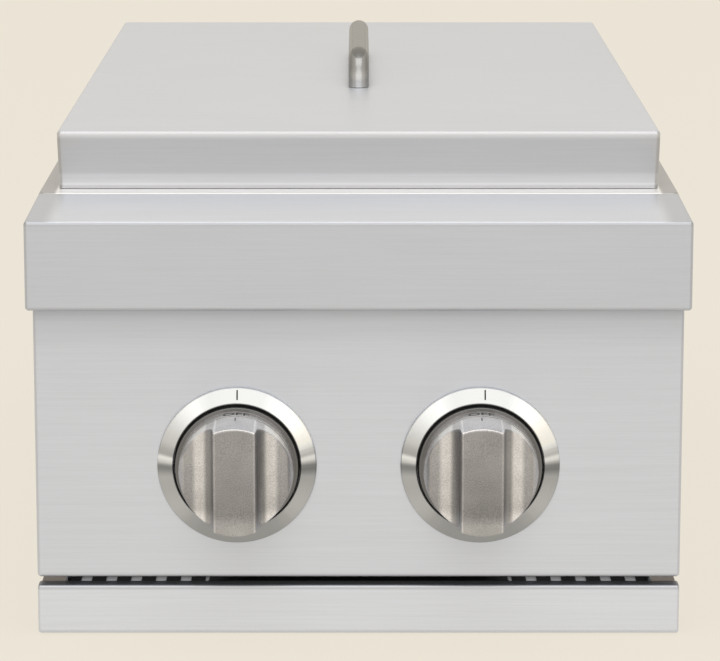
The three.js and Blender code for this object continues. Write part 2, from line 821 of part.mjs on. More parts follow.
// Vent plate with its slots, and the plain cover between them
function ventPlate() {
  const half = cabinetInner - seatGap;
  const slotMiddle = ventPlateFront + slotSetback + slotLength / 2;
  const slots = [-1, 1].flatMap((side) =>
    Array.from({ length: slotCount }, (_, i) =>
      slot(side * (outermostSlot - i * slotPitch), slotMiddle, slotWidth, slotLength),
    ),
  );
  const plate = rectangle(-half, ventPlateFront, half, ventPlateRear);
  return alongZ(pierced(plate, ...slots), ventPlateTop - sheet, ventPlateTop);
}

// Plain cover between the two groups of slots, folded up at its front
function centreCover() {
  const front = ventPlateFront + coverSetback;
  const foot = ventPlateTop + seatGap;
  const section = outline([
    [front, foot],
    [front + coverDepth, foot],
    [front + coverDepth, foot + sheet],
    [front + sheet, foot + sheet],
    [front + sheet, foot + coverUpstand],
    [front, foot + coverUpstand],
  ]);
  return alongX(section, -coverHalfWidth, coverHalfWidth);
}

// Spill pan: a flange on the deck, a ledge for the grates, leaning walls and a lipped hole for each burner
function burnerPan() {
  const overFlange = wellHalfX - seatGap + panFlange;
  const lengthways = wellHalfY - wellHalfX;
  const wallOuter = wellHalfX - seatGap;
  const slopeTop = wallOuter - panLedge;
  const floorEdge = slopeTop - panSlope;
  const ring = (half, z, radius) => roundedRing(wellMiddle, half, half + lengthways, radius, z);
  const shell = skin([
    ring(floorEdge - panFloorRound, panFloor - sheet, panCornerRadius),
    ring(floorEdge, panFloor - sheet + panFloorRound, panCornerRadius),
    ring(slopeTop, ledgeTop - sheet, panCornerRadius),
    ring(wallOuter, ledgeTop - sheet, wellRadius - seatGap),
    ring(wallOuter, deckTop + seatGap, wellRadius - seatGap),
    ring(overFlange, deckTop + seatGap, wellRadius),
    ring(overFlange, deckTop + seatGap + sheet, wellRadius),
    ring(wallOuter - sheet, deckTop + seatGap + sheet, wellRadius - seatGap - sheet),
    ring(wallOuter - sheet, ledgeTop, wellRadius - seatGap - sheet),
    ring(slopeTop - sheet, ledgeTop, panCornerRadius - sheet),
    ring(floorEdge - sheet, panFloor + panFloorRound, panCornerRadius - sheet),
    ring(floorEdge - sheet - panFloorRound, panFloor, panCornerRadius - sheet),
  ]);
  const lips = [-1, 1].map((end) =>
    alongZ(
      circle(0, wellMiddle + end * grateOffset, burnerHoleRadius + sheet, burnerFacets),
      panFloor - sheet,
      panFloor + lipHeight,
    ),
  );
  const holes = [-1, 1].map((end) =>
    alongZ(
      circle(0, wellMiddle + end * grateOffset, burnerHoleRadius, burnerFacets),
      panFloor - sheet - overrun,
      panFloor + lipHeight + overrun,
    ),
  );
  const drains = [-1, 1].flatMap((side) =>
    [-1, 1].map((end) => {
      const x = side * (floorEdge - panFloorRound - drainInset);
      const y = wellMiddle + end * (floorEdge + lengthways - panFloorRound - drainInset - drainLength / 2);
      return alongZ(slot(x, y, drainWidth, drainLength), panFloor - sheet - overrun, panFloor + overrun);
    }),
  );
  return cut(join(shell, ...lips), ...holes, ...drains);
}

// Lid: a shell with rounded edges, open below, with two screw holes under the handle
function lidShell() {
  const bottom = deckTop + seatGap;
  const ring = (inset, z, radius) => roundedRing(lidMiddle, lidHalfX - inset, lidHalfY - inset, radius, z);
  const inside = lidEdgeRadius - sheet;
  const foot = (wall) =>
    roundedRing(lidMiddle, lidHalfX - lidLean - wall, lidHalfY - wall, lidCornerRadius - wall, bottom);
  const outerEdge = roundedEdge(lidEdgeRadius);
  const shell = skin([
    ...outerEdge.map(([inset, drop]) => ring(inset, lidTop - drop, lidCornerRadius - inset / 2)),
    foot(0),
    foot(sheet),
    ...roundedEdge(inside)
      .reverse()
      .map(([inset, drop]) => ring(inset + sheet, lidTop - sheet - drop, lidCornerRadius - sheet - inset / 2)),
  ]);
  const holes = [-1, 1].map((end) =>
    alongZ(
      circle(0, lidMiddle + (end * handleSpan) / 2, screwShank / 2 + screwRoom, smallFacets),
      lidTop - sheet - overrun,
      lidTop + overrun,
    ),
  );
  return cut(shell, ...holes);
}

// Handle: one bent rod, bored at either foot for its screw
function lidHandle() {
  const foot = lidTop + seatGap;
  const top = lidTop + handleRise - handleDiameter / 2;
  const front = lidMiddle - handleSpan / 2;
  const rear = lidMiddle + handleSpan / 2;
  const corners = [
    [0, front, foot],
    [0, front, top],
    [0, rear, top],
    [0, rear, foot],
  ];
  const rod = tube(corners, handleBend, handleDiameter / 2, handleSides);
  const bores = [front, rear].map((y) =>
    alongZ(circle(0, y, screwShank / 2 + seatGap, smallFacets), foot - overrun, foot + screwReach + seatGap),
  );
  return cut(rod, ...bores);
}

function handleScrew(y) {
  const head = lidTop - sheet - seatGap;
  return turnedZ(
    [
      [0, head - screwHeadHeight],
      [screwHead / 2 - seatGap, head - screwHeadHeight],
      [screwHead / 2, head - screwHeadHeight / 2],
      [screwHead / 2, head],
      [screwShank / 2, head],
      [screwShank / 2, lidTop + seatGap + screwReach],
      [0, lidTop + seatGap + screwReach],
    ],
    smallFacets,
    0,
    y,
  );
}

// Bezel: a conical ring on the panel
function bezel(x) {
  const outer = bezelDiameter / 2;
  const inner = bezelOpening / 2;
  const profile = [
    [outer, seatGap],
    [outer, bezelEdge],
    [outer - bezelRound, bezelEdge + bezelRound],
    [inner + 2 * bezelRound, bezelHeight],
    [inner + bezelRound / 2, bezelHeight - bezelRound / 2],
    [inner, bezelHeight - 2 * bezelRound],
    [inner, seatGap],
  ];
  const standing = profile.map(([radius, height]) => [radius, panelSetback - height]);
  return turnedY(loopedProfile(standing), bezelFacets, x, knobHeight);
}

// A circle cut off by the stem's flat
function stemSection(x, radius) {
  const flatSide = radius - stemFlat;
  const across = Math.acos(flatSide / radius);
  return new THREE.Shape(
    Array.from({ length: smallFacets + 1 }, (_, i) => {
      const angle = halfTurn / 2 + across + ((fullTurn - 2 * across) * i) / smallFacets;
      return new THREE.Vector2(x + radius * Math.cos(angle), knobHeight + radius * Math.sin(angle));
    }),
  );
}

function stemBore(x, from, to) {
  return alongY(stemSection(x, stemDiameter / 2 + stemRoom), from, to);
}

// Dial ring behind the grip, hollow from the back, with a hub on the stem
function knobSkirt(x) {
  const back = panelSetback - knobStandOff;
  const front = back - knobDialHeight;
  const radius = knobDiameter / 2;
  const cup = turnedY(
    [
      [0, back],
      [hubDiameter / 2, back],
      [hubDiameter / 2, front + dialWall],
      [radius - dialWall, front + dialWall],
      [radius - dialWall, back],
      [radius, back],
      [radius, front + bezelRound],
      [radius - bezelRound, front],
      [0, front],
    ],
    knobFacets,
    x,
    knobHeight,
  );
  return cut(cup, stemBore(x, front - overrun, back + overrun));
}

// Grip: a turned blank with a concave scoop milled off either side of the grip bar
function knobGrip(x) {
  const back = panelSetback - knobStandOff - knobDialHeight - seatGap;
  const front = panelSetback - knobProjection;
  const radius = knobDiameter / 2 - gripInset;
  const frontRadius = radius - gripTaper;
  const blank = turnedY(
    [
      [0, back],
      [radius, back],
      [frontRadius, front + gripRound + gripCrown],
      [frontRadius - gripRound / 3, front + gripRound / 3 + gripCrown],
      [frontRadius - gripRound, front + gripCrown],
      [0, front],
    ],
    knobFacets,
    x,
    knobHeight,
  );
  const barSide = gripWidth / 2;
  const curve = scoopShares.map(([outward, deep]) => [
    barSide + outward * (radius - barSide),
    front + deep * (back - front),
  ]);
  const rimDepth = curve[curve.length - 1][1];
  const section = [
    [barSide - gripRound / 2, front - overrun],
    [barSide, front + gripRound + gripCrown],
    ...curve,
    [radius + overrun, rimDepth],
    [radius + overrun, front - overrun],
  ];
  const scoop = (side) =>
    alongZ(
      outline(section.map(([outward, y]) => [x + side * outward, y])),
      knobHeight - radius - overrun,
      knobHeight + radius + overrun,
    );
  return cut(blank, scoop(-1), scoop(1), stemBore(x, stemFront - seatGap, back + overrun));
}

// Valve stem with a flat on one side
function valveStem(x) {
  return alongY(stemSection(x, stemDiameter / 2), stemFront, stemRear);
}

function stemWasher(x) {
  const front = panelRear + seatGap + washerInset;
  return turnedY(
    loopedProfile([
      [stemDiameter / 2 + stemRoom, front],
      [bonnetBore / 2 - 2 * seatGap, front],
      [bonnetBore / 2 - 2 * seatGap, front + washerThickness],
      [stemDiameter / 2 + stemRoom, front + washerThickness],
    ]),
    turnedFacets,
    x,
    knobHeight,
  );
}

function stemSpring(x) {
  const washerBack = panelRear + seatGap + washerInset + washerThickness;
  const start = washerBack + seatGap + springWire / 2;
  const end = valveFront - seatGap - bonnetWall - seatGap - springWire / 2;
  const helix = new Helix(x, knobHeight, springRadius, start, end, springTurns);
  const section = circle(0, 0, springWire / 2, springSides);
  return new THREE.ExtrudeGeometry(section, { extrudePath: helix, steps: springTurns * springStepsPerTurn });
}

// Bonnet: a cup for the spring with a flange that is screwed to the panel's back
function valveBonnet(x) {
  const front = panelRear + seatGap;
  const back = valveFront - seatGap;
  const flange = alongY(
    rectangle(
      x - bonnetFlangeWidth / 2,
      knobHeight - bonnetFlangeHeight / 2,
      x + bonnetFlangeWidth / 2,
      knobHeight + bonnetFlangeHeight / 2,
      foldRadius,
    ),
    front,
    front + bonnetWall,
  );
  const cup = alongY(circle(x, knobHeight, bonnetCupDiameter / 2, turnedFacets), front, back);
  const bore = alongY(circle(x, knobHeight, bonnetBore / 2, turnedFacets), front - overrun, back - bonnetWall);
  const screwHoles = [-1, 1].map((side) =>
    alongY(
      circle(x + (side * bonnetScrewSpacing) / 2, knobHeight, bonnetScrewHole / 2, smallFacets),
      front - overrun,
      front + bonnetWall + overrun,
    ),
  );
  const stemHole = stemBoreRound(x, back - bonnetWall - overrun, back + overrun);
  return cut(join(flange, cup), bore, stemHole, ...screwHoles);
}

function stemBoreRound(x, from, to) {
  return alongY(circle(x, knobHeight, stemDiameter / 2 + stemRoom, turnedFacets), from, to);
}

// Valve body: a chamfered block bored for the stem, with an outlet boss and a nipple on the manifold
function valveBody(x) {
  const halfX = valveWidth / 2;
  const block = alongY(
    outline([
      [x - halfX, knobHeight - valveFoot],
      [x + halfX, knobHeight - valveFoot],
      [x + halfX, knobHeight + valveTop - valveChamfer],
      [x + halfX - valveChamfer, knobHeight + valveTop],
      [x - halfX + valveChamfer, knobHeight + valveTop],
      [x - halfX, knobHeight + valveTop - valveChamfer],
    ]),
    valveFront,
    valveRear,
  );
  const outlet = alongY(
    circle(x, knobHeight, valveBossDiameter / 2, smallFacets),
    valveRear - overrun,
    valveRear + valveBossLength,
  );
  const nipple = alongZ(
    circle(x, manifoldDepth, valveNippleDiameter / 2, smallFacets),
    manifoldHeight + manifoldDiameter / 2 + seatGap,
    knobHeight - valveFoot + overrun,
  );
  const bore = stemBoreRound(x, valveFront - overrun, stemRear + pushTravel + seatGap);
  return cut(join(block, outlet, nipple), bore);
}

// Gas jet, bored through
function orifice(x) {
  const end = jetStart + orificeLength;
  return turnedY(
    loopedProfile([
      [jetDiameter / 2, jetStart],
      [orificeDiameter / 2, jetStart],
      [orificeDiameter / 2, end - orificeTipLength],
      [orificeTip / 2, end - orificeTipLength + bezelRound],
      [orificeTip / 2, end],
      [jetDiameter / 2, end],
    ]),
    smallFacets,
    x,
    knobHeight,
  );
}

// Igniter on top of its valve, with the pin that its lead starts from
function piezo(x) {
  return turnedY(
    [
      [0, piezoFront - piezoNeck],
      [piezoDiameter / 4, piezoFront - piezoNeck],
      [piezoDiameter / 4, piezoFront],
      [piezoDiameter / 2, piezoFront],
      [piezoDiameter / 2, piezoRear],
      [piezoPinDiameter / 2, piezoRear],
      [piezoPinDiameter / 2, piezoRear + piezoNeck],
      [0, piezoRear + piezoNeck],
    ],
    smallFacets,
    x,
    piezoHeight,
  );
}

// Manifold: a pipe under both valves, closed at its left end
function manifoldPipe() {
  const pipe = alongX(
    circle(manifoldDepth, manifoldHeight, manifoldDiameter / 2, turnedFacets),
    manifoldLeft,
    manifoldRight,
  );
  const bore = alongX(
    circle(manifoldDepth, manifoldHeight, manifoldBore / 2, turnedFacets),
    manifoldLeft + manifoldPlug,
    manifoldRight + overrun,
  );
  return cut(pipe, bore);
}

// Gas pipe from the manifold's open end to the back
function gasInletPipe() {
  const corners = [
    [manifoldRight + seatGap, manifoldDepth, manifoldHeight],
    [inletX, manifoldDepth, manifoldHeight],
    [inletX, rearPanelFront - fittingInside - seatGap, manifoldHeight],
  ];
  return tube(corners, inletBend, inletDiameter / 2, inletSides, inletBore / 2);
}

// Inlet fitting: a threaded tail through the rear panel with a hexagon outside
function gasInletFitting() {
  const nutStart = rearPanelBack + seatGap;
  const tail = alongY(
    circle(inletX, manifoldHeight, fittingDiameter / 2, turnedFacets),
    rearPanelFront - fittingInside,
    inletEnd,
  );
  const nutRadius = fittingNutAcross / 2 / Math.cos(halfTurn / nutSides);
  const hexagon = circle(inletX, manifoldHeight, nutRadius, nutSides);
  const nut = alongY(hexagon, nutStart, nutStart + fittingNutLength);
  const bore = alongY(
    circle(inletX, manifoldHeight, inletBore / 2, turnedFacets),
    rearPanelFront - fittingInside - overrun,
    inletEnd + overrun,
  );
  return cut(join(tail, nut), bore);
}

// The electrode stands beside the ring, towards the front and to its burner's own side
function electrodePlace(side, burnerY) {
  const along = electrodeRadius * Math.SQRT1_2;
  return [side * along, burnerY - along];
}

// Two air windows in the form of arcs round the tube's axis
function mouthWindows(x, from, to) {
  return [0, 1].map((turn) => {
    const middle = turn * halfTurn;
    const window = new THREE.Shape();
    window.absarc(0, 0, mouthWindowOuter, middle - mouthWindowAngle / 2, middle + mouthWindowAngle / 2, false);
    window.absarc(0, 0, mouthWindowInner, middle + mouthWindowAngle / 2, middle - mouthWindowAngle / 2, true);
    const facetsOfArc = new THREE.Shape(window.getPoints(slotSteps));
    return alongY(facetsOfArc, from, to).translate(x, 0, knobHeight);
  });
}

// Burner bowl and mixing tube in one piece, with a mouth plate, a boss and an ear for the electrode
function burnerBody(side, burnerY) {
  const x = (side * knobSpacing) / 2;
  const tubeRadius = tubeDiameter / 2;
  const boreRadius = tubeRadius - tubeWall;
  const corners = (start, end) => [
    [x, start, knobHeight],
    [x, burnerY - tubeRunIn, knobHeight],
    [0, burnerY, bowlFoot - tubeRise],
    [0, burnerY, end],
  ];
  const bowlRadius = ringDiameter / 2 + seatGap;
  const shoulderRadius = bowlShoulderRadiusShare * bowlRadius;
  const shoulder = bowlTop - bowlShoulderShare * bowlDepth;
  const bowl = turnedZ(
    [
      [0, bowlFoot],
      [tubeRadius + bowlWall, bowlFoot],
      [shoulderRadius, shoulder],
      [bowlRadius - ringBaseLap, bowlTop - bowlRim],
      [bowlRadius, bowlTop - bowlRim],
      [bowlRadius, bowlTop],
      [0, bowlTop],
    ],
    turnedFacets,
    0,
    burnerY,
  );
  const hollow = turnedZ(
    [
      [0, bowlFoot + bowlWall],
      [tubeRadius, bowlFoot + bowlWall],
      [shoulderRadius - bowlWall, shoulder + bowlWall / 2],
      [bowlRadius - ringBaseLap - ringWall, bowlTop + overrun],
      [0, bowlTop + overrun],
    ],
    turnedFacets,
    0,
    burnerY,
  );
  const boss = alongZ(
    circle(0, burnerY, bossDiameter / 2, turnedFacets),
    supportTop + seatGap,
    bowlFoot + bowlWall,
  );
  const [earX, earY] = electrodePlace(side, burnerY);
  const earStart = bowlRadius - ringBaseLap - ringWall;
  const earEnd = electrodeRadius + earWidth / 2;
  const ear = alongZ(
    rectangle(-earWidth / 2, earStart, earWidth / 2, earEnd, foldRadius),
    earTop - earThickness,
    earTop,
  );
  ear.rotateZ(Math.atan2(earY - burnerY, earX) - halfTurn / 2).translate(0, burnerY, 0);
  const earHole = alongZ(
    circle(earX, earY, electrodeDiameter / 2 + seatGap, smallFacets),
    earTop - earThickness - overrun,
    earTop + overrun,
  );
  const outer = tube(corners(tubeMouth, bowlFoot + bowlWall / 2), tubeBend, tubeRadius, tubeSides);
  const inner = tube(
    corners(tubeMouth + mouthWall, bowlFoot + bowlWall + overrun),
    tubeBend,
    boreRadius,
    tubeSides,
  );
  const mouth = alongY(
    circle(x, knobHeight, mouthHole / 2, smallFacets),
    tubeMouth - overrun,
    tubeMouth + mouthWall + overrun,
  );
  const windows = mouthWindows(x, tubeMouth - overrun, tubeMouth + mouthWall + overrun);
  return cut(join(bowl, boss, ear, outer), hollow, inner, earHole, mouth, ...windows);
}

// Flame ring with a port between each pair of teeth
function burnerRing(burnerY) {
  const outer = ringDiameter / 2;
  const wall = turnedZ(
    loopedProfile([
      [outer - ringWall, ringFoot],
      [outer, ringFoot],
      [outer, ringFoot + ringBase],
      [outer - bezelRound, ringFoot + ringBase + bezelRound],
      [outer - bezelRound, ringTop],
      [outer - ringWall, ringTop],
    ]),
    burnerFacets,
    0,
    burnerY,
  );
  const reach = outer + overrun;
  const ports = Array.from({ length: portCount / 2 }, (_, i) =>
    alongZ(rectangle(-reach, -portWidth / 2, reach, portWidth / 2), ringTop - portDepth, ringTop + overrun)
      .rotateZ(((i + 1 / 2) * fullTurn) / portCount)
      .translate(0, burnerY, 0),
  );
  return cut(wall, ...ports);
}

// Loose cap with a short collar that drops inside the ring
function burnerCap(burnerY) {
  const radius = capDiameter / 2;
  const foot = capTop - capHeight;
  const plugRadius = ringDiameter / 2 - ringWall - 2 * seatGap;
  return turnedZ(
    [
      [0, foot],
      [plugRadius - ringWall, foot],
      [plugRadius - ringWall, foot - capUnderReach],
      [plugRadius, foot - capUnderReach],
      [plugRadius, foot],
      [radius, foot],
      [radius, foot + capEdge],
      [radius - bezelRound, foot + capEdge + bezelRound],
      [radius / 2, capTop - bezelRound / 2],
      [0, capTop],
    ],
    burnerFacets,
    0,
    burnerY,
  );
}

// Cross bar under a burner, its ends folded down against the side panels
function burnerSupport(burnerY) {
  const half = cabinetInner - seatGap;
  const section = outline([
    [-half, supportTop - supportTab],
    [-half, supportTop],
    [half, supportTop],
    [half, supportTop - supportTab],
    [half - supportSheet, supportTop - supportTab],
    [half - supportSheet, supportTop - supportSheet],
    [supportSheet - half, supportTop - supportSheet],
    [supportSheet - half, supportTop - supportTab],
  ]);
  const hole = alongZ(
    circle(0, burnerY, clearing(tubeDiameter / 2, turnedFacets), turnedFacets),
    supportTop - supportSheet - overrun,
    supportTop + overrun,
  );
  return cut(alongY(section, burnerY - supportWidth / 2, burnerY + supportWidth / 2), hole);
}

// Air shutter: a cup over the tube's mouth with windows that match the mouth's
function airShutter(x) {
  const inner = clearing(tubeDiameter / 2, turnedFacets);
  const front = tubeMouth - seatGap - shutterWall;
  const cup = turnedY(
    loopedProfile([
      [mouthHole / 2, front],
      [inner + shutterWall, front],
      [inner + shutterWall, front + shutterSkirt],
      [inner, front + shutterSkirt],
      [inner, front + shutterWall],
      [mouthHole / 2, front + shutterWall],
    ]),
    turnedFacets,
    x,
    knobHeight,
  );
  return cut(cup, ...mouthWindows(x, front - overrun, front + shutterWall + overrun));
}

// Electrode: a ceramic rod on the bowl's ear with a wire tip beside the ports
function electrode(side, burnerY) {
  const [x, y] = electrodePlace(side, burnerY);
  const collarFoot = earTop + seatGap;
  const tipTop = ringTop - electrodeBelowCap;
  return turnedZ(
    [
      [0, collarFoot - electrodeFoot],
      [electrodeDiameter / 2, collarFoot - electrodeFoot],
      [electrodeDiameter / 2, collarFoot],
      [electrodeCollar / 2, collarFoot],
      [electrodeCollar / 2, collarFoot + electrodeCollarHeight],
      [electrodeDiameter / 2, collarFoot + electrodeCollarHeight],
      [electrodeDiameter / 2, tipTop - electrodeTipLength],
      [electrodeTip / 2, tipTop - electrodeTipLength],
      [electrodeTip / 2, tipTop],
      [0, tipTop],
    ],
    smallFacets,
    x,
    y,
  );
}

// Lead from the igniter's pin through the firewall to the foot of the electrode
function igniterLead(side, burnerY) {
  const x = (side * knobSpacing) / 2;
  const [endX, endY] = electrodePlace(side, burnerY);
  const foot = earTop + seatGap - electrodeFoot - seatGap;
  const corners = [
    [x, piezoRear + piezoNeck + seatGap, leadHeight],
    [x, endY, leadHeight],
    [x, endY, foot - leadRise],
    [endX, endY, foot - leadRise],
    [endX, endY, foot],
  ];
  return tube(corners, leadBend, leadDiameter / 2, leadSides);
}

// Grate: a frame rod round the ledge, straight bars welded on top and a cross rod under them
function grate(middleY) {
  const radius = grateRod / 2;
  const frame = skin(
    Array.from({ length: grateRodSides }, (_, i) => {
      const angle = (fullTurn * (i + 1 / 2)) / grateRodSides;
      const out = radius * Math.cos(angle) - radius;
      const z = grateRodHeight + radius * Math.sin(angle);
      return roundedRing(middleY, grateHalfX + out, grateHalfY + out, grateCornerRadius + out, z);
    }),
    true,
  );
  const rod = (start, end) => tube([start, end], 0, radius, grateRodSides);
  const pitch = (2 * (grateHalfX - radius)) / (grateBarCount + 1);
  const barEnd = grateHalfY - radius;
  const bars = Array.from({ length: grateBarCount }, (_, i) => {
    const x = (i + 1) * pitch - (grateHalfX - radius);
    return rod([x, middleY - barEnd, barHeight], [x, middleY + barEnd, barHeight]);
  });
  const crossEnd = grateHalfX - radius;
  const cross = rod([-crossEnd, middleY, grateRodHeight], [crossEnd, middleY, grateRodHeight]);
  return join(frame, cross, ...bars);
}

// Tray pan: a shallow pan with a rim that rides on the runners and a plate that meets the tray front
function trayPan() {
  const middle = (trayFront + trayRear) / 2;
  const halfY = (trayRear - trayFront) / 2;
  const floor = sheet + trayFloorGap;
  const ring = (inset, z, radius) => roundedRing(middle, trayRimHalfX - inset, halfY - inset, radius, z);
  const inside = trayCornerRadius - sheet;
  const pan = skin([
    ring(trayRim + trayWallLean, floor, trayCornerRadius),
    ring(trayRim, trayRimTop - sheet, trayCornerRadius),
    ring(0, trayRimTop - sheet, sheet),
    ring(0, trayRimTop, sheet),
    ring(trayRim + sheet, trayRimTop, inside),
    ring(trayRim + trayWallLean + sheet, floor + sheet, inside),
  ]);
  const plate = alongX(
    rectangle(trayFront, footGap + sheet, trayFront + sheet, trayRimTop),
    -trayRimHalfX,
    trayRimHalfX,
  );
  return join(pan, plate);
}

// Tray runner: an angle on the side panel
function trayRunner(side) {
  const wall = cabinetInner - seatGap;
  const ledge = trayRimTop - sheet - seatGap;
  const section = outline([
    [side * wall, panTurnUp + runnerFootRoom],
    [side * wall, ventPlateTop - sheet - runnerFootRoom],
    [side * (wall - sheet), ventPlateTop - sheet - runnerFootRoom],
    [side * (wall - sheet), ledge],
    [side * (wall - runnerLedge), ledge],
    [side * (wall - runnerLedge), ledge - sheet],
    [side * (wall - sheet), ledge - sheet],
    [side * (wall - sheet), panTurnUp + runnerFootRoom],
  ]);
  return alongY(section, cabinetFront + runnerFrontInset, cabinetBack - runnerRearInset);
}

// The assembly
add('front_rail', frontRail(), brushedSteel);
add('control_panel', controlPanel(), brushedSteel);
add('deck_frame', deckFrame(), brushedSteel);
add('left_side_panel', sidePanel(-1), brushedSteel);
add('right_side_panel', sidePanel(1), brushedSteel);
add('rear_panel', rearPanel(), brushedSteel);
add('bottom_pan', bottomPan(), brushedSteel);
add('firewall', firewall(), zincSteel);
add('vent_plate', ventPlate(), ventSteel);
add('centre_cover', centreCover(), ventSteel);
add('burner_pan', burnerPan(), brushedSteel);
add('manifold_pipe', manifoldPipe(), zincSteel);
add('gas_inlet_pipe', gasInletPipe(), aluminium);
add('gas_inlet_fitting', gasInletFitting(), brass);
add('lid_shell', lidShell(), brushedSteel);
add('lid_handle', lidHandle(), polishedSteel);
add('handle_front_screw', handleScrew(lidMiddle - handleSpan / 2), zincSteel);
add('handle_rear_screw', handleScrew(lidMiddle + handleSpan / 2), zincSteel);
add('tray_front', trayFrontStrip(), brushedSteel);
add('tray_pan', trayPan(), brushedSteel);

const sides = [
  { name: 'left', side: -1, burner: 'front', burnerY: wellMiddle - grateOffset },
  { name: 'right', side: 1, burner: 'rear', burnerY: wellMiddle + grateOffset },
];
for (const { name, side, burner, burnerY } of sides) {
  const x = (side * knobSpacing) / 2;
  add(`${name}_tray_runner`, trayRunner(side), zincSteel);
  add(`${name}_bezel`, bezel(x), polishedSteel);
  add(`${name}_knob_skirt`, knobSkirt(x), castMetal);
  add(`${name}_knob_grip`, knobGrip(x), castMetal);
  add(`${name}_valve_stem`, valveStem(x), brass);
  add(`${name}_stem_washer`, stemWasher(x), zincSteel);
  add(`${name}_stem_spring`, stemSpring(x), springSteel);
  add(`${name}_valve_bonnet`, valveBonnet(x), zincSteel);
  add(`${name}_valve_body`, valveBody(x), aluminium);
  add(`${name}_orifice`, orifice(x), brass);
  add(`${name}_piezo`, piezo(x), plastic);
  add(`${burner}_air_shutter`, airShutter(x), zincSteel);
  add(`${burner}_burner_body`, burnerBody(side, burnerY), aluminium);
  add(`${burner}_burner_ring`, burnerRing(burnerY), brass);
  add(`${burner}_burner_cap`, burnerCap(burnerY), blackEnamel);
  add(`${burner}_burner_support`, burnerSupport(burnerY), zincSteel);
  add(`${burner}_electrode`, electrode(side, burnerY), ceramic);
  add(`${burner}_igniter_lead`, igniterLead(side, burnerY), silicone);
  add(`${burner}_grate`, grate(burnerY), polishedSteel);
}

// The origin is the middle of the footprint: the grips stand furthest forward, the deck furthest back.
const frontMost = panelSetback - knobProjection;
part.position.y = -(frontMost + totalDepth) / 2;

export default part;
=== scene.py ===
import json
import math
import bmesh
import bpy
import numpy as np
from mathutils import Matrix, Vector

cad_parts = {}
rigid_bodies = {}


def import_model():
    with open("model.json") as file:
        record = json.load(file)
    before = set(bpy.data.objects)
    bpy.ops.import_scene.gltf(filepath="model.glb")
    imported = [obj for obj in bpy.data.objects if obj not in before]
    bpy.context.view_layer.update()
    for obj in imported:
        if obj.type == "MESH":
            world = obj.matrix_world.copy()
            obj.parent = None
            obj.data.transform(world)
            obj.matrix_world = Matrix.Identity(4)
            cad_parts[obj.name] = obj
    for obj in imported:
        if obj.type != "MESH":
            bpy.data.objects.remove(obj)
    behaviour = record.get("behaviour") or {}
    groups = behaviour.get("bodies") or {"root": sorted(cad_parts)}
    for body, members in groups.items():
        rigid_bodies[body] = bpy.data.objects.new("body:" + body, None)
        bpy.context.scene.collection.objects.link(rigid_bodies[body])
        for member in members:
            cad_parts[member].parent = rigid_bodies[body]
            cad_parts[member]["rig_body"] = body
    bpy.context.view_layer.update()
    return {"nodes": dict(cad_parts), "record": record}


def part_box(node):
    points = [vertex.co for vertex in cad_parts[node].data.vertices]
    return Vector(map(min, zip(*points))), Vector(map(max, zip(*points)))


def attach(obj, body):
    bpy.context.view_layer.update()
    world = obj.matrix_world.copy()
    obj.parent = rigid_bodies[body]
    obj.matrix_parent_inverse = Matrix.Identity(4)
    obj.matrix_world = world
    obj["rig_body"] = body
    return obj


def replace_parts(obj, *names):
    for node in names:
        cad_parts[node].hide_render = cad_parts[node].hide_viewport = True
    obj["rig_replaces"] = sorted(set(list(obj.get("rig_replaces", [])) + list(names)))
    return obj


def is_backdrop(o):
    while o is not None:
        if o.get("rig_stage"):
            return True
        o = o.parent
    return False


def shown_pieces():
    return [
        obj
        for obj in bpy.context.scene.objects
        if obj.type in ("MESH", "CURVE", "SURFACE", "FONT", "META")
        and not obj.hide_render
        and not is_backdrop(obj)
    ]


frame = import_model()

# Shapes are drawn in millimetres. X runs to the right and Z up from the floor, and Y runs to the back from
# the front rail's face, so that a size reads as it is measured on the burner.
MM = 0.001
RAIL_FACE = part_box("front_rail")[0].y / MM


def span(node):
    """Lowest and highest corner of a CAD node in millimetres, with Y from the front rail's face."""
    low, high = (np.array(corner) / MM - [0, RAIL_FACE, 0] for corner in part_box(node))
    return low, high


# Sheets and gaps, and the distance within which two points are one
SHEET = 1.2
GAP = 0.3
MERGE = 0.002

# How finely round stretches are drawn, and the angle in degrees up to which an edge is shaded smooth
FOLD_STEPS = 8
CORNER_STEPS = 10
HOLE_STEPS = 8
TURNED_STEPS = 96
ROD_STEPS = 24
CREASE = 32.0

# Finishes: a metal's colour is what it reflects of white light, and tones, which paint light and shade onto
# it, multiply it
STEEL = (0.59, 0.62, 0.69)
STEEL_ROUGHNESS = 0.40
# Painted light: level faces of the sheets a little lighter than upright ones
TOP_PAINTED_LIGHT = 1.1
BEZEL = (0.80, 0.83, 0.87)
CAST = (0.345, 0.342, 0.352)
RIM_GREY = (0.2, 0.2, 0.205)
# Black of the index ticks, and painted shade on the wall inside each bezel
TICK_AND_SHADE_BLACK = (0.015, 0.015, 0.016)
POINTER_BROWN = (0.03, 0.028, 0.026)
WHITE = (1.0, 1.0, 1.0)

# A face is level where its normal's part along Z is above this, and a side wall where its part along X is
FACING = 0.7

# The light round the burner
CREAM = (0.847, 0.791, 0.687)
DAYLIGHT = (0.8, 0.8, 0.8)


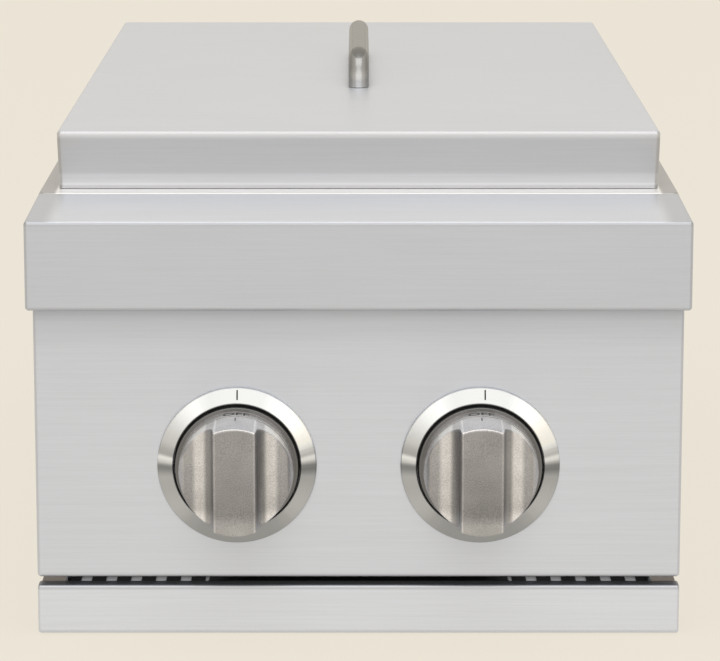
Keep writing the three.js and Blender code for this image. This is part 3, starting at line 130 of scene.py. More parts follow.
class Nodes:
    """A tree of shader nodes, with short calls that add nodes to it."""

    def __init__(self, tree):
        self.tree = tree

    def feed(self, socket, value):
        """Links another socket to this one, or sets it to a plain value."""
        if isinstance(value, bpy.types.NodeSocket):
            self.tree.links.new(value, socket)
        else:
            socket.default_value = value

    def node(self, kind, inputs, **settings):
        """A new node with its inputs, by name or number, and its settings."""
        made = self.tree.nodes.new(kind)
        for key, value in settings.items():
            setattr(made, key, value)
        for socket, value in inputs.items():
            self.feed(made.inputs[socket], value)
        return made

    def math(self, operation, first, second=0.0):
        return self.node("ShaderNodeMath", {0: first, 1: second}, operation=operation).outputs[0]

    def plus(self, first, second):
        return self.math("ADD", first, second)

    def minus(self, first, second):
        return self.math("SUBTRACT", first, second)

    def times(self, first, second):
        return self.math("MULTIPLY", first, second)

    def over(self, first, second):
        return self.math("DIVIDE", first, second)

    def size(self, value):
        return self.math("ABSOLUTE", value)

    def above(self, value, limit):
        """1 where the value is above the limit, and 0 elsewhere."""
        return self.math("GREATER_THAN", value, limit)

    def below(self, value, limit):
        return self.math("LESS_THAN", value, limit)

    def vector(self, operation, first, second=(0.0, 0.0, 0.0)):
        return self.node("ShaderNodeVectorMath", {0: first, 1: second}, operation=operation).outputs[0]

    def length(self, vector):
        return self.node("ShaderNodeVectorMath", {0: vector}, operation="LENGTH").outputs[1]

    def object_place(self):
        return self.node("ShaderNodeTexCoord", {}).outputs["Object"]

    def normal(self):
        return self.node("ShaderNodeNewGeometry", {}).outputs["Normal"]

    def parts(self, vector):
        return self.node("ShaderNodeSeparateXYZ", {0: vector}).outputs

    def joined(self, x, y, z):
        return self.node("ShaderNodeCombineXYZ", {0: x, 1: y, 2: z}).outputs[0]

    def noise(self, place, scale, detail=3.0, roughness=0.6):
        inputs = {"Vector": place, "Scale": scale, "Detail": detail, "Roughness": roughness}
        return self.node("ShaderNodeTexNoise", inputs).outputs[0]

    def between(self, share, low, high):
        """A number that runs from low to high as share runs from 0 to 1."""
        return self.plus(self.times(share, high - low), low)

    def mixed(self, share, first, second):
        """The first colour where share is 0 and the second where it is 1."""
        inputs = {0: share, 6: first, 7: second}
        return self.node("ShaderNodeMix", inputs, data_type="RGBA").outputs[2]

    def shaded(self, share, colour, contrast):
        """The colour, darker by the contrast where share is 0 and lighter by it where share is 1."""
        low, high = ([part * (1 + sign * contrast) for part in colour] + [1] for sign in (-1, 1))
        return self.mixed(share, low, high)

    def scaled(self, colour, factor):
        """The colour times one factor."""
        return self.node("ShaderNodeVectorMath", {0: colour, 3: factor}, operation="SCALE").outputs[0]

    def curve(self, value, stops, top=2.5):
        """A number that follows stops (value, number) with soft turns, each number at most top."""
        low, high = stops[0][0], stops[-1][0]
        share = self.over(self.minus(value, low), high - low)
        made = self.node("ShaderNodeValToRGB", {0: share})
        made.color_ramp.interpolation = "EASE"
        points = made.color_ramp.elements
        while len(points) < len(stops):
            points.new(0.5)
        for point, (place, number) in zip(points, stops):
            point.position = (place - low) / (high - low)
            point.color = (number / top, number / top, number / top, 1)
        return self.times(made.outputs[0], top)

    def bump(self, height, strength, depth):
        inputs = {"Height": height, "Strength": strength, "Distance": depth}
        return self.node("ShaderNodeBump", inputs).outputs[0]


class Finish(Nodes):
    """A material on a Principled shader."""

    def __init__(self, name):
        self.material = bpy.data.materials.new(name)
        self.material.use_nodes = True
        super().__init__(self.material.node_tree)
        self.shader = self.tree.nodes["Principled BSDF"]

    def set(self, **sockets):
        """Sets or links the shader's sockets, named with underscores for spaces."""
        for name, value in sockets.items():
            self.feed(self.shader.inputs[name.replace("_", " ")], value)
        return self.material


def brush_lines(finish):
    """Streaks of brushed sheet: noise drawn out along X, and along Z on walls that face left or right."""
    long, fine = 14.0, 900.0
    place = finish.object_place()
    across = finish.parts(finish.normal())[0]
    sideways = finish.above(finish.size(across), FACING)
    along_x = finish.vector("MULTIPLY", place, (long, fine, fine))
    along_z = finish.vector("MULTIPLY", place, (fine, fine, long))
    inputs = {0: sideways, 4: along_x, 5: along_z}
    drawn = finish.node("ShaderNodeMix", inputs, data_type="VECTOR").outputs[1]
    return finish.noise(drawn, 1.0, detail=4.0, roughness=0.65)


def across_brushing(finish):
    """The direction in the surface at right angles to the brushing: the normal crossed with X.

    A trace of Y is added, which is all that is left where the normal lies along X.
    """
    crossed = finish.vector("CROSS_PRODUCT", finish.normal(), (1.0, 0.0, 0.0))
    return finish.vector("ADD", crossed, (0.0, 0.01, 0.0))


def brushed_steel(name, colour=STEEL, roughness=STEEL_ROUGHNESS, contrast=0.1, anisotropy=0.75, walls=None,
                  tops=None, edges=None, tint=WHITE):
    """Sheet steel brushed along X, whose highlights spread across the brushing.

    Its upright faces take painted light and shade from walls, by height, and its level faces take theirs from
    tops, by distance from the middle; without tops its level faces are painted a little lighter. Edges scales
    all of them by distance from the middle, and each of the three is a list of (millimetres, tone). The tint
    colours the upright faces alone.
    """
    finish = Finish(name)
    x, _, z = finish.parts(finish.object_place())
    level = finish.above(finish.parts(finish.normal())[2], FACING)
    aside = finish.over(finish.size(x), MM)
    # Painted light and shade, by height on upright faces and by distance from the middle on level faces
    wall_painted_light = finish.curve(finish.over(z, MM), walls) if walls else 1.0
    top_painted_light = finish.curve(aside, tops) if tops else TOP_PAINTED_LIGHT
    painted_tone = finish.times(finish.minus(1.0, level), wall_painted_light)
    painted_tone = finish.plus(painted_tone, finish.times(level, top_painted_light))
    if edges:
        painted_tone = finish.times(painted_tone, finish.curve(aside, edges))
    hue = finish.mixed(level, (*tint, 1), (*WHITE, 1))
    lines = brush_lines(finish)
    cloud = finish.noise(finish.object_place(), 9.0, detail=2.0)
    streaks = finish.plus(finish.times(lines, 0.8), finish.times(cloud, 0.2))
    steel = finish.scaled(finish.shaded(streaks, colour, contrast), painted_tone)
    spread = 0.04
    return finish.set(
        Base_Color=finish.vector("MULTIPLY", steel, hue),
        Metallic=1.0,
        Roughness=finish.between(lines, roughness - spread, roughness + spread),
        Anisotropic=anisotropy,
        Tangent=across_brushing(finish),
        Normal=finish.bump(lines, 0.12, 0.00004),
    )


def knob_place(finish):
    """Place within the knob that a point belongs to: to the side, to the back and up from its centre."""
    x, y, z = finish.parts(finish.object_place())
    outwards = finish.minus(finish.size(x), KNOB_X * MM)
    return finish.times(finish.math("SIGN", x), outwards), y, finish.minus(z, KNOB_Z * MM)


def within(finish, value, low, high):
    """1 where value, in metres, lies between low and high in millimetres, and 0 elsewhere."""
    return finish.times(finish.above(value, low * MM), finish.below(value, high * MM))


def turned_steel(name, tick, shade_lining):
    """Steel turned on a lathe round each knob's axis.

    The tick (low, high, width) is a dark index mark at the top of the bezel, and inside the lining (radius,
    depth) the wall is painted black: painted shade in the gap round the dial. The tone is painted light and
    shade: it follows height over radius, lightest on the upper slopes, darker at the sides and below, and
    lighter on the right, and noise round the turn lifts the height a little, so that its bands waver.
    """
    finish = Finish(name)
    side, back, up = knob_place(finish)
    outwards = finish.joined(side, 0.0, up)
    radius = finish.length(outwards)
    turn = finish.math("ARCTAN2", up, side)
    groove_scale = 1400.0
    groove_place = finish.joined(finish.times(radius, groove_scale), turn, back)
    grooves = finish.noise(groove_place, 1.0, detail=4.0, roughness=0.65)
    low, high, width = tick
    on_right = finish.above(finish.parts(finish.object_place())[0], 0.0)
    middle = finish.between(on_right, *(place * MM for place in TICK_PLACES))
    beside = within(finish, finish.minus(side, middle), -width / 2, width / 2)
    mark = finish.times(within(finish, up, low, high), beside)
    # Painted shade: the wall deep inside the bezel black and unlit
    inner, lip = shade_lining
    behind_lip = finish.above(finish.minus(back, RAIL_FACE * MM), lip * MM)
    painted_shade = finish.times(within(finish, radius, 0.0, inner), behind_lip)
    streaks_round, streak_lift = 9.0, 0.004
    streak = finish.noise(finish.joined(0.0, finish.times(turn, streaks_round), 0.0), 1.0, detail=2.0)
    height = finish.over(finish.plus(up, finish.times(streak, streak_lift)), radius)
    # Painted light and shade: tones by height over radius, the right side lighter
    lean = finish.minus(finish.curve(height, BEZEL_RIGHT_LIGHT), 1.0)
    lean = finish.plus(finish.times(finish.over(side, radius), lean), 1.0)
    tone = finish.times(finish.curve(height, BEZEL_LIGHT_AND_SHADE), lean)
    steel = finish.scaled(finish.shaded(grooves, BEZEL, 0.05), tone)
    return finish.set(
        Base_Color=finish.mixed(finish.math("MAXIMUM", mark, painted_shade), steel, (*TICK_AND_SHADE_BLACK, 1)),
        Metallic=finish.minus(1.0, painted_shade),
        Roughness=finish.between(grooves, 0.24, 0.34),
        Anisotropic=0.5,
        Tangent=outwards,
        Normal=finish.bump(grooves, 0.12, 0.00003),
    )


def cast_metal(name, pointer=None, rim=None, grip_light_and_shade=False):
    """Fine cast and satin finished metal of the knobs, painted lighter where it looks up.

    The pointer (front, back, width, floor) is a dark line on the grip's upper side, above its floor. Outside
    the radius of a rim the metal is darker, and on the grip its tone can follow the bar and scoops: painted
    highlights and shade, darker beside the bar, a light band across each scoop and a lighter lower end.
    """
    finish = Finish(name)
    side, back, up = knob_place(finish)
    grain = finish.noise(finish.object_place(), 1900.0, detail=2.0, roughness=0.7)
    cloud = finish.noise(finish.object_place(), 60.0, detail=2.0)
    specks = finish.plus(finish.times(grain, 0.75), finish.times(cloud, 0.25))
    # Painted light: faces that look up are lighter
    lit = finish.curve(finish.parts(finish.normal())[2], CAST_LIGHT)
    colour = finish.scaled(finish.shaded(specks, CAST, 0.85), lit)
    # Painted highlights and shade across the grip's bar and scoops, and up the bar
    if grip_light_and_shade:
        colour = finish.scaled(colour, finish.curve(finish.over(finish.size(side), MM), GRIP_SIDES))
        colour = finish.scaled(colour, finish.curve(finish.over(up, MM), GRIP_HEIGHTS))
    if rim:
        radius = finish.length(finish.joined(side, 0.0, up))
        colour = finish.mixed(finish.above(radius, rim * MM), colour, (*RIM_GREY, 1))
    if pointer:
        front, rear, width, floor = pointer
        depth = finish.minus(back, RAIL_FACE * MM)
        beside = within(finish, side, -width / 2, width / 2)
        mark = finish.times(within(finish, depth, front, rear), beside)
        mark = finish.times(mark, finish.above(up, floor * MM))
        colour = finish.mixed(mark, colour, (*POINTER_BROWN, 1))
    return finish.set(
        Base_Color=colour,
        Metallic=1.0,
        Roughness=finish.between(specks, 0.3, 0.42),
        Normal=finish.bump(grain, 0.14, 0.00005),
    )


def grained(name, colour, roughness, metallic, contrast, scale, depth=0.00004, strength=0.25):
    """A plain material with a fine grain in its colour, roughness and surface."""
    finish = Finish(name)
    grain = finish.noise(finish.object_place(), scale, detail=4.0)
    spread = 0.06
    return finish.set(
        Base_Color=finish.shaded(grain, colour, contrast),
        Metallic=metallic,
        Roughness=finish.between(grain, roughness - spread, roughness + spread),
        Normal=finish.bump(grain, strength, depth),
    )


# Painted highlights and shade of the bezel by height over radius, and how much lighter its right side is at
# that height: painted light
BEZEL_LIGHT_AND_SHADE = [
    (-1.1, 0.44), (-0.87, 0.45), (-0.5, 0.66), (-0.12, 0.58), (0.04, 0.31), (0.17, 1.1), (0.23, 0.64),
    (0.4, 1.02), (0.7, 1.08), (0.87, 1.04), (1.0, 0.84), (1.1, 0.84),
]
BEZEL_RIGHT_LIGHT = [
    (-1.1, 1.0), (-0.3, 1.0), (-0.05, 0.91), (0.1, 0.91), (0.35, 1.22), (0.6, 1.22), (0.95, 1.05), (1.1, 1.0),
]

# How far the index ticks stand to the right of each bezel's top, in millimetres: the left one, then the right
TICK_PLACES = (0.4, 2.3)

# Tones of the cast metal by its normal's part along Z, painted light that makes faces looking up lighter, and
# of the grip by millimetres to the side of its middle and above it, painted highlights and shade
CAST_LIGHT = [(0.0, 1.0), (0.35, 1.0), (0.7, 2.0), (1.0, 2.0)]
GRIP_SIDES = [
    (0.0, 1.0), (9.5, 1.0), (10.2, 1.4), (10.8, 1.1), (11.4, 0.95), (14.4, 0.95), (16.9, 2.1), (19.8, 2.1),
    (22.8, 1.22), (26.0, 1.22), (28.0, 1.9), (30.0, 2.2),
]
GRIP_HEIGHTS = [(-32.0, 1.5), (-24.0, 1.35), (-16.0, 0.84), (-6.0, 0.94), (8.0, 1.02), (32.0, 1.02)]

# Knob sizes, and the knobs' places from the frame
left_dial_low, left_dial_high = span("left_knob_skirt")
KNOB_RADIUS = 32.0
DIAL_INSET = 2.1
DIAL_RIM = 4.0
DIAL_HEIGHT = 13.0
KNOB_X = -(left_dial_high[0] + left_dial_low[0]) / 2
KNOB_Z = (left_dial_high[2] + left_dial_low[2]) / 2
DIAL_BACK = left_dial_high[1]
DIAL_FRONT = DIAL_BACK - DIAL_HEIGHT
GRIP_BACK = DIAL_FRONT - GAP
GRIP_FRONT = span("left_knob_grip")[0][1]

# Materials of the sheets, with their tones by height and by distance from the middle: painted light, shade
# and reflections
BRUSHED = brushed_steel("brushed_steel_sheet")
# Painted shade on the top of the hood's face, and a painted reflection of the lid's front, lighter, in the
# middle of the shelf
RAIL_STEEL = brushed_steel(
    "rail_steel",
    walls=[(176.0, 0.95), (219.5, 0.95), (221.0, 0.85), (226.0, 0.85)],
    tops=[(0.0, 1.2), (154.0, 1.2), (163.0, 0.93), (172.0, 0.93)],
)
# Painted shadow of the hood across the top of the panel, and painted light lower down
PANEL_STEEL = brushed_steel(
    "panel_steel",
    walls=[(30.0, 1.12), (110.0, 1.09), (150.0, 1.06), (166.0, 0.97), (176.0, 0.84)],
)
# Painted shade on the strip's dark top, and painted light on its face
STRIP_STEEL = brushed_steel(
    "strip_steel",
    walls=[(0.0, 1.22), (24.0, 1.22), (25.5, 0.95), (30.0, 0.95)],
    tops=[(0.0, 0.4), (172.0, 0.4)],
)
# Painted light and reflection: the deck lighter in the middle, darker along its sides
DECK_STEEL = brushed_steel(
    "deck_steel",
    colour=(0.62, 0.625, 0.648),
    tops=[(0.0, 1.45), (161.0, 1.45), (163.0, 0.76), (172.0, 0.76)],
)
# Painted reflections on the lid's walls: bands lighter and darker up them, a light line low and a lighter top
# edge
LID_STEEL = brushed_steel(
    "lid_steel",
    walls=[
        (224.0, 0.88), (226.0, 0.88), (227.3, 1.1), (228.4, 0.96), (232.0, 0.92), (234.0, 0.8), (251.0, 0.79),
        (254.0, 1.05), (256.0, 1.05),
    ],
    tint=(1.03, 1.0, 0.955),
)
# Painted light and shade: the handle lighter low on its legs, darker over its top and along its sides
HANDLE_STEEL = brushed_steel(
    "handle_steel",
    colour=(0.342, 0.348, 0.362),
    roughness=0.28,
    contrast=0.05,
    anisotropy=0.3,
    walls=[(254.0, 1.8), (262.0, 1.5), (268.0, 1.15), (280.0, 1.05)],
    tops=[(0.0, 0.7), (6.0, 0.7)],
    edges=[(0.0, 1.0), (2.5, 0.98), (5.0, 0.6), (6.2, 0.42)],
)
INNER_STEEL = brushed_steel("inner_steel_sheet", colour=(0.58, 0.60, 0.63), roughness=0.4)

# Materials of the knobs and their bezels, with marks and radii in millimetres
# The bezels' tones and black lining are painted highlights and shade
BEZEL_STEEL = turned_steel("turned_bezel_steel", tick=(35.4, 40.4, 0.75), shade_lining=(33.3, 8.0))
# The grip's tones by side and height are painted highlights and shade
CAST_GRIP = cast_metal("cast_grip", pointer=(-14.0, -8.0, 0.6, 20.0), grip_light_and_shade=True)
CAST_DIAL = cast_metal("cast_dial", rim=30.1)

# Materials of the smaller and inner pieces: colour, roughness, metallic, contrast and scale of the grain, and
# for some the depth and strength of its bump
ZINC = grained("zinc_plate", (0.52, 0.55, 0.58), 0.42, 1.0, 0.12, 320.0)
CHEEK_GREY = grained("cheek_grey", (0.2, 0.18, 0.18), 0.5, 1.0, 0.15, 500.0)
# Pale plates in the vent slots: painted light standing in for light seen through them
SLOT_LIGHT_GREY = grained("slot_light_grey", (0.94, 0.94, 0.95), 0.6, 0.0, 0.04, 900.0)
# Near black of the vent plate: painted shade deep in the vent gap
VENT_SHADE_BLACK = grained("vent_shade_black", (0.045, 0.043, 0.043), 0.55, 0.2, 0.2, 900.0)
SPRING_STEEL = grained("spring_wire", (0.45, 0.46, 0.47), 0.32, 1.0, 0.08, 900.0)
BRASS = grained("turned_brass", (0.62, 0.43, 0.15), 0.3, 1.0, 0.08, 700.0)
ALUMINIUM = grained("cast_aluminium", (0.56, 0.565, 0.575), 0.5, 1.0, 0.08, 1200.0, 0.0001, 0.4)
ENAMEL = grained("black_enamel", (0.016, 0.016, 0.017), 0.32, 0.0, 0.25, 420.0, 0.00005, 0.2)
PLASTIC = grained("black_plastic", (0.02, 0.02, 0.021), 0.55, 0.0, 0.2, 1500.0)
CERAMIC = grained("white_ceramic", (0.78, 0.76, 0.70), 0.35, 0.0, 0.04, 300.0, 0.00002, 0.15)
SILICONE = grained("silicone_sleeve", (0.62, 0.57, 0.48), 0.6, 0.0, 0.06, 1400.0)
MARK_PAINT = grained("mark_paint", POINTER_BROWN, 0.5, 0.0, 0.15, 900.0, 0.00001, 0.1)

# The finish of each material slot, and the slot of each CAD node
FINISH_OF = {
    "brushed_steel": INNER_STEEL,
    "polished_steel": HANDLE_STEEL,
    "cast_metal": CAST_DIAL,
    "zinc_steel": ZINC,
    "vent_steel": VENT_SHADE_BLACK,
    "spring_steel": SPRING_STEEL,
    "brass": BRASS,
    "aluminium": ALUMINIUM,
    "black_enamel": ENAMEL,
    "black_plastic": PLASTIC,
    "ceramic": CERAMIC,
    "silicone": SILICONE,
}
SLOT_OF = {row["node"]: row["material_slot"] for row in frame["record"]["subparts"]}


# Making a piece
def quads(rows, columns, looped=False, flip=False):
    """Faces between the neighbours of a grid of points, stored row by row.

    Their front is where a step along a row, crossed with a step to the next row, points, or the other side
    if flipped.
    """
    index = np.arange(rows * columns).reshape(rows, columns)
    if looped:
        index = np.hstack([index, index[:, :1]])
    sides = [index[:-1, :-1], index[:-1, 1:], index[1:, 1:], index[1:, :-1]]
    return np.stack(sides[::-1] if flip else sides, -1).reshape(-1, 4).tolist()


def combined(*shells):
    """Several (points, faces) as one."""
    points, faces, start = [], [], 0
    for shell_points, shell_faces in shells:
        points.append(np.asarray(shell_points, float))
        faces += [[corner + start for corner in face] for face in shell_faces]
        start += len(shell_points)
    return np.vstack(points), faces


def linked(name, data):
    """A new object in the scene, at the origin."""
    made = bpy.data.objects.new(name, data)
    bpy.context.scene.collection.objects.link(made)
    return made


def final_mesh(made):
    """An object's mesh as its modifiers, curve or text settings make it."""
    return bpy.data.meshes.new_from_object(made.evaluated_get(bpy.context.evaluated_depsgraph_get()))


def piece(name, shape, finish, body, nodes=(), crease=CREASE, sheet=0.0, outwards=False):
    """Puts (points, faces) into an object that rides on a body and stands for some nodes.

    Points that coincide are merged, and a sheet gets its thickness inwards. Outwards turns the faces of a
    closed shape out.
    """
    points, faces = shape
    mesh = bpy.data.meshes.new(name)
    mesh.from_pydata(((np.asarray(points) + [0, RAIL_FACE, 0]) * MM).tolist(), [], faces)
    work = bmesh.new()
    work.from_mesh(mesh)
    bmesh.ops.delete(work, geom=[v for v in work.verts if not v.link_faces], context="VERTS")
    bmesh.ops.remove_doubles(work, verts=work.verts, dist=MERGE * MM)
    if outwards:
        bmesh.ops.recalc_face_normals(work, faces=work.faces)
    work.to_mesh(mesh)
    work.free()
    made = linked(name, mesh)
    if sheet:
        thicken = made.modifiers.new("sheet", "SOLIDIFY")
        thicken.thickness = sheet * MM
        thicken.offset = -1
        thicken.use_even_offset = True
        mesh = final_mesh(made)
        mesh.name = name
        made.modifiers.clear()
        made.data = mesh
    return dressed(made, finish, body, nodes, crease)


def dressed(made, finish, body, nodes, crease):
    """Gives an object its shading, its finish, its body and the nodes that it stands for.

    Edges sharper than the crease angle stay sharp, and normals lean towards the larger faces, so that flat
    walls look flat beside their rounded edges.
    """
    mesh = made.data
    mesh.polygons.foreach_set("use_smooth", np.ones(len(mesh.polygons), bool))
    mesh.set_sharp_from_angle(angle=math.radians(crease))
    mesh.materials.clear()
    mesh.materials.append(finish)
    weigh = made.modifiers.new("flat_faces", "WEIGHTED_NORMAL")
    weigh.keep_sharp = True
    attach(made, body)
    if nodes:
        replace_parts(made, *nodes)
    return made


# Outlines and skins
def outline(corners, steps=FOLD_STEPS):
    """Corners (u, v, radius) joined by straight lines, each rounded by an arc that touches both its lines.

    The arc's centre lies on the corner's bisector, radius / sin(half the angle) away from the corner.
    """
    corners = np.array([(*corner, 0.0)[:3] for corner in corners], float)
    found = []
    for here, before, after in zip(corners, np.roll(corners, 1, 0), np.roll(corners, -1, 0)):
        if here[2] == 0:
            found.append(here[None, :2])
            continue
        back, ahead = ((other - here)[:2] / np.linalg.norm((other - here)[:2]) for other in (before, after))
        half = math.acos(np.clip(back @ ahead, -1, 1)) / 2
        middle = (back + ahead) / np.linalg.norm(back + ahead)
        centre = here[:2] + middle * here[2] / math.sin(half)
        start = here[:2] + back * here[2] / math.tan(half) - centre
        sense = np.sign(ahead[0] * back[1] - ahead[1] * back[0])
        turn = np.linspace(0, (math.pi - 2 * half) * sense, steps + 1)
        found.append(centre + np.c_[start[0] * np.cos(turn) - start[1] * np.sin(turn),
                                    start[0] * np.sin(turn) + start[1] * np.cos(turn)])
    return np.vstack(found)


def inset(points, distance):
    """A closed outline moved inwards: each point goes along the sum of its two sides' inward normals,
    divided by one plus their dot product."""
    side = np.roll(points, -1, 0) - points
    side /= np.linalg.norm(side, axis=1)[:, None]
    area = np.sum(points[:, 0] * np.roll(points[:, 1], -1) - np.roll(points[:, 0], -1) * points[:, 1])
    normal = np.c_[-side[:, 1], side[:, 0]] * np.sign(area)
    before = np.roll(normal, 1, 0)
    share = 1 + np.sum(normal * before, 1)
    return points + distance * (normal + before) / share[:, None]


def folded_sheet(corners, half, end_radius, wall_count):
    """A sheet folded round an outline (y, z) and carried along X, closed by plates at both ends.

    The outline's first wall_count corners begin walls, and the rest of it is open. Towards either end the
    outline draws in along a quarter circle, as a folded corner does.
    """
    walls = outline(corners)
    first_open = corner_start(corners, wall_count)
    turn = np.linspace(0, math.pi / 2, FOLD_STEPS + 1)
    insets = end_radius * (1 - np.sin(turn))
    stations = half - end_radius * (1 - np.cos(turn))
    levels = np.r_[-stations, stations[::-1]]
    depths = np.r_[insets, insets[::-1]]
    count = len(walls)
    rings = np.array([np.c_[np.full(count, x), inset(walls, depth)] for x, depth in zip(levels, depths)])
    strips = quads(len(levels), count, flip=True)
    faces = [face for face in strips if (max(face[0], face[1]) % count) <= first_open]
    left = list(range(count))
    right = [corner + (len(levels) - 1) * count for corner in left]
    return rings.reshape(-1, 3), faces + [left, right[::-1]]


def corner_start(corners, index):
    """Index of the first point that the outline puts at a corner."""
    return sum(FOLD_STEPS + 1 if len(corner) > 2 and corner[2] else 1 for corner in corners[:index])


def round_ring(middle_y, half_x, half_y, radius, z, steps=CORNER_STEPS):
    """A rectangle with round corners, anticlockwise from above: a quarter circle at each corner."""
    turn = np.arange(4)[:, None] * math.pi / 2 + np.linspace(0, math.pi / 2, steps + 1)
    sign = np.array([[1, 1], [-1, 1], [-1, -1], [1, -1]])
    x = sign[:, :1] * (half_x - radius) + radius * np.cos(turn)
    y = middle_y + sign[:, 1:] * (half_y - radius) + radius * np.sin(turn)
    return np.stack([x, y, np.full_like(x, z)], -1).reshape(-1, 3)


def rounding(radius):
    """Insets and drops along a rounded edge, from its upright side to its flat top: a quarter circle."""
    turn = np.linspace(0, math.pi / 2, FOLD_STEPS + 1)
    return np.c_[radius * (1 - np.cos(turn)), radius * (1 - np.sin(turn))]


def skin(rings, looped=False):
    """Rings of equal count joined into a closed skin, which faces outwards if they rise on its outside.

    The last ring is joined to the first if looped, and otherwise a flat face closes either end.
    """
    count = len(rings[0])
    points = np.vstack(rings)
    if looped:
        return points, (np.array(quads(len(rings) + 1, count, True)) % len(points)).tolist()
    top = (len(rings) - 1) * count
    caps = [list(range(count))[::-1], [top + i for i in range(count)]]
    return points, quads(len(rings), count, True) + caps


def turned(profile, x, z):
    """A profile of (radius, y) turned round an axis along Y: x = r cos a, z = r sin a for each point."""
    profile = np.asarray(profile, float)
    angle = np.arange(TURNED_STEPS) * 2 * math.pi / TURNED_STEPS
    radius, along = profile[:, :1], profile[:, 1:]
    depth = np.broadcast_to(along, (len(profile), TURNED_STEPS))
    grid = np.stack([x + radius * np.cos(angle), depth, z + radius * np.sin(angle)], -1)
    return grid.reshape(-1, 3), quads(len(profile), TURNED_STEPS, True)


def rod(path, binormal, radius, closed=False, steps=ROD_STEPS):
    """A round bar along a flat path: at each point a circle in the plane of the binormal and of
    binormal x tangent."""
    path = np.asarray(path, float)
    if closed:
        tangent = np.roll(path, -1, 0) - np.roll(path, 1, 0)
    else:
        tangent = np.gradient(path, axis=0)
    tangent /= np.linalg.norm(tangent, axis=1)[:, None]
    binormal = np.broadcast_to(np.asarray(binormal, float), path.shape)
    normal = np.cross(binormal, tangent)
    angle = np.arange(steps) * 2 * math.pi / steps
    cosine, sine = np.cos(angle)[None, :, None], np.sin(angle)[None, :, None]
    return skin(path[:, None] + radius * (normal[:, None] * cosine + binormal[:, None] * sine), closed)


def punched(loops, thickness, place):
    """A flat plate of loops (u, v), the first its edge and the others holes, centred in its thickness.

    place turns the plate's (u, v, w) into X, Y and Z.
    """
    curve = bpy.data.curves.new("plate", "CURVE")
    curve.dimensions = "2D"
    curve.fill_mode = "BOTH"
    curve.extrude = thickness / 2
    for loop in loops:
        spline = curve.splines.new("POLY")
        spline.points.add(len(loop) - 1)
        spline.points.foreach_set("co", np.c_[loop, np.zeros(len(loop)), np.ones(len(loop))].ravel())
        spline.use_cyclic_u = True
    drawn = linked("plate", curve)
    mesh = final_mesh(drawn)
    bpy.data.objects.remove(drawn)
    points = np.zeros(len(mesh.vertices) * 3)
    mesh.vertices.foreach_get("co", points)
    faces = [list(face.vertices) for face in mesh.polygons]
    bpy.data.meshes.remove(mesh)
    return place(points.reshape(-1, 3)), faces


def long_hole(u, v, length_u, length_v):
    """The loop of a hole with round ends, its centre at (u, v). Its short sides stay a hair long."""
    hair = 0.001
    radius = min(length_u, length_v) / 2 - hair
    loop = round_ring(v, length_u / 2, length_v / 2, radius, 0.0, HOLE_STEPS)[:, :2]
    return loop + [u, 0]


def box_loop(u_low, v_low, u_high, v_high):
    """The loop of a plate with square corners."""
    return np.array([[u_low, v_low], [u_high, v_low], [u_high, v_high], [u_low, v_high]], float)


# Front rail, control panel and tray front: radii of the folds and of the ends, how far the shelf climbs, how
# high the strip's back lip is, and how far the strip's top and the panel's foot stand above the nodes'. The
# folds shrink by the end's radius at the ends, so that is the smaller one.
FOLD = 2.5
RAIL_FOLD = 2.0
STRIP_FOLD = 1.5
END_FOLD = 1.9
STRIP_END = 1.4
SHELF_RISE = 1.5
STRIP_LIP = 11.5
STRIP_RISE = 2.0
PANEL_RISE = 1.0
panel_low, panel_high = span("control_panel")
strip_low, strip_high = span("tray_front")
rail_low, rail_high = span("front_rail")


def front_rail():
    """The rail's bottom lip, face and shelf, with end plates."""
    lip = panel_low[1] - GAP
    deck_foot = span("deck_frame")[0][2]
    corners = [
        (lip, rail_low[2]),
        (0, rail_low[2], RAIL_FOLD),
        (0, rail_high[2] - SHELF_RISE, RAIL_FOLD),
        (rail_high[1], rail_high[2]),
        (rail_high[1], deck_foot),
        (panel_high[1], deck_foot, RAIL_FOLD),
        (panel_high[1], rail_low[2]),
    ]
    return folded_sheet(corners, rail_high[0], END_FOLD, wall_count=3)


def knob_panel():
    """The control panel: bottom, face and top folds with folded ends, open behind."""
    foot = panel_low[2] + PANEL_RISE
    corners = [
        (panel_high[1], foot),
        (panel_low[1], foot, FOLD),
        (panel_low[1], panel_high[2], FOLD),
        (panel_high[1], panel_high[2]),
    ]
    return folded_sheet(corners, panel_high[0], END_FOLD, wall_count=3)


def tray_strip():
    """The strip under the vent gap, with its lip behind."""
    top = strip_high[2] + STRIP_RISE
    corners = [
        (strip_high[1], strip_low[2] + STRIP_LIP),
        (strip_high[1], strip_low[2]),
        (strip_low[1], strip_low[2], FOLD),
        (strip_low[1], top, STRIP_FOLD),
        (strip_high[1], top),
    ]
    return folded_sheet(corners, strip_high[0], STRIP_END, wall_count=4)


piece("front_rail_sheet", front_rail(), RAIL_STEEL, "housing", ["front_rail"], sheet=SHEET)
piece("control_panel_sheet", knob_panel(), PANEL_STEEL, "housing", ["control_panel"], sheet=SHEET)
piece("tray_front_sheet", tray_strip(), STRIP_STEEL, "drip_tray", ["tray_front"], sheet=SHEET)

# Deck and lid: how far the pan's flange reaches past the well, the radii of edges and corners, how far the
# deck's rim turns back in, how far the lid's sides lean, and how far its top stands above the node's
deck_low, deck_high = span("deck_frame")
lid_low, lid_high = span("lid_shell")
pan_low, pan_high = span("burner_pan")
PAN_FLANGE = 8.3
DECK_EDGE = 2.0
RIM_RETURN = 12.0
WELL_RADIUS = 30.0
LID_EDGE = 2.0
LID_CORNER = 2.4
LID_LEAN = 0.95
LID_RISE = 2.3
deck_middle = (deck_low[1] + deck_high[1]) / 2
lid_middle = (lid_low[1] + lid_high[1]) / 2
pan_middle = (pan_low[1] + pan_high[1]) / 2


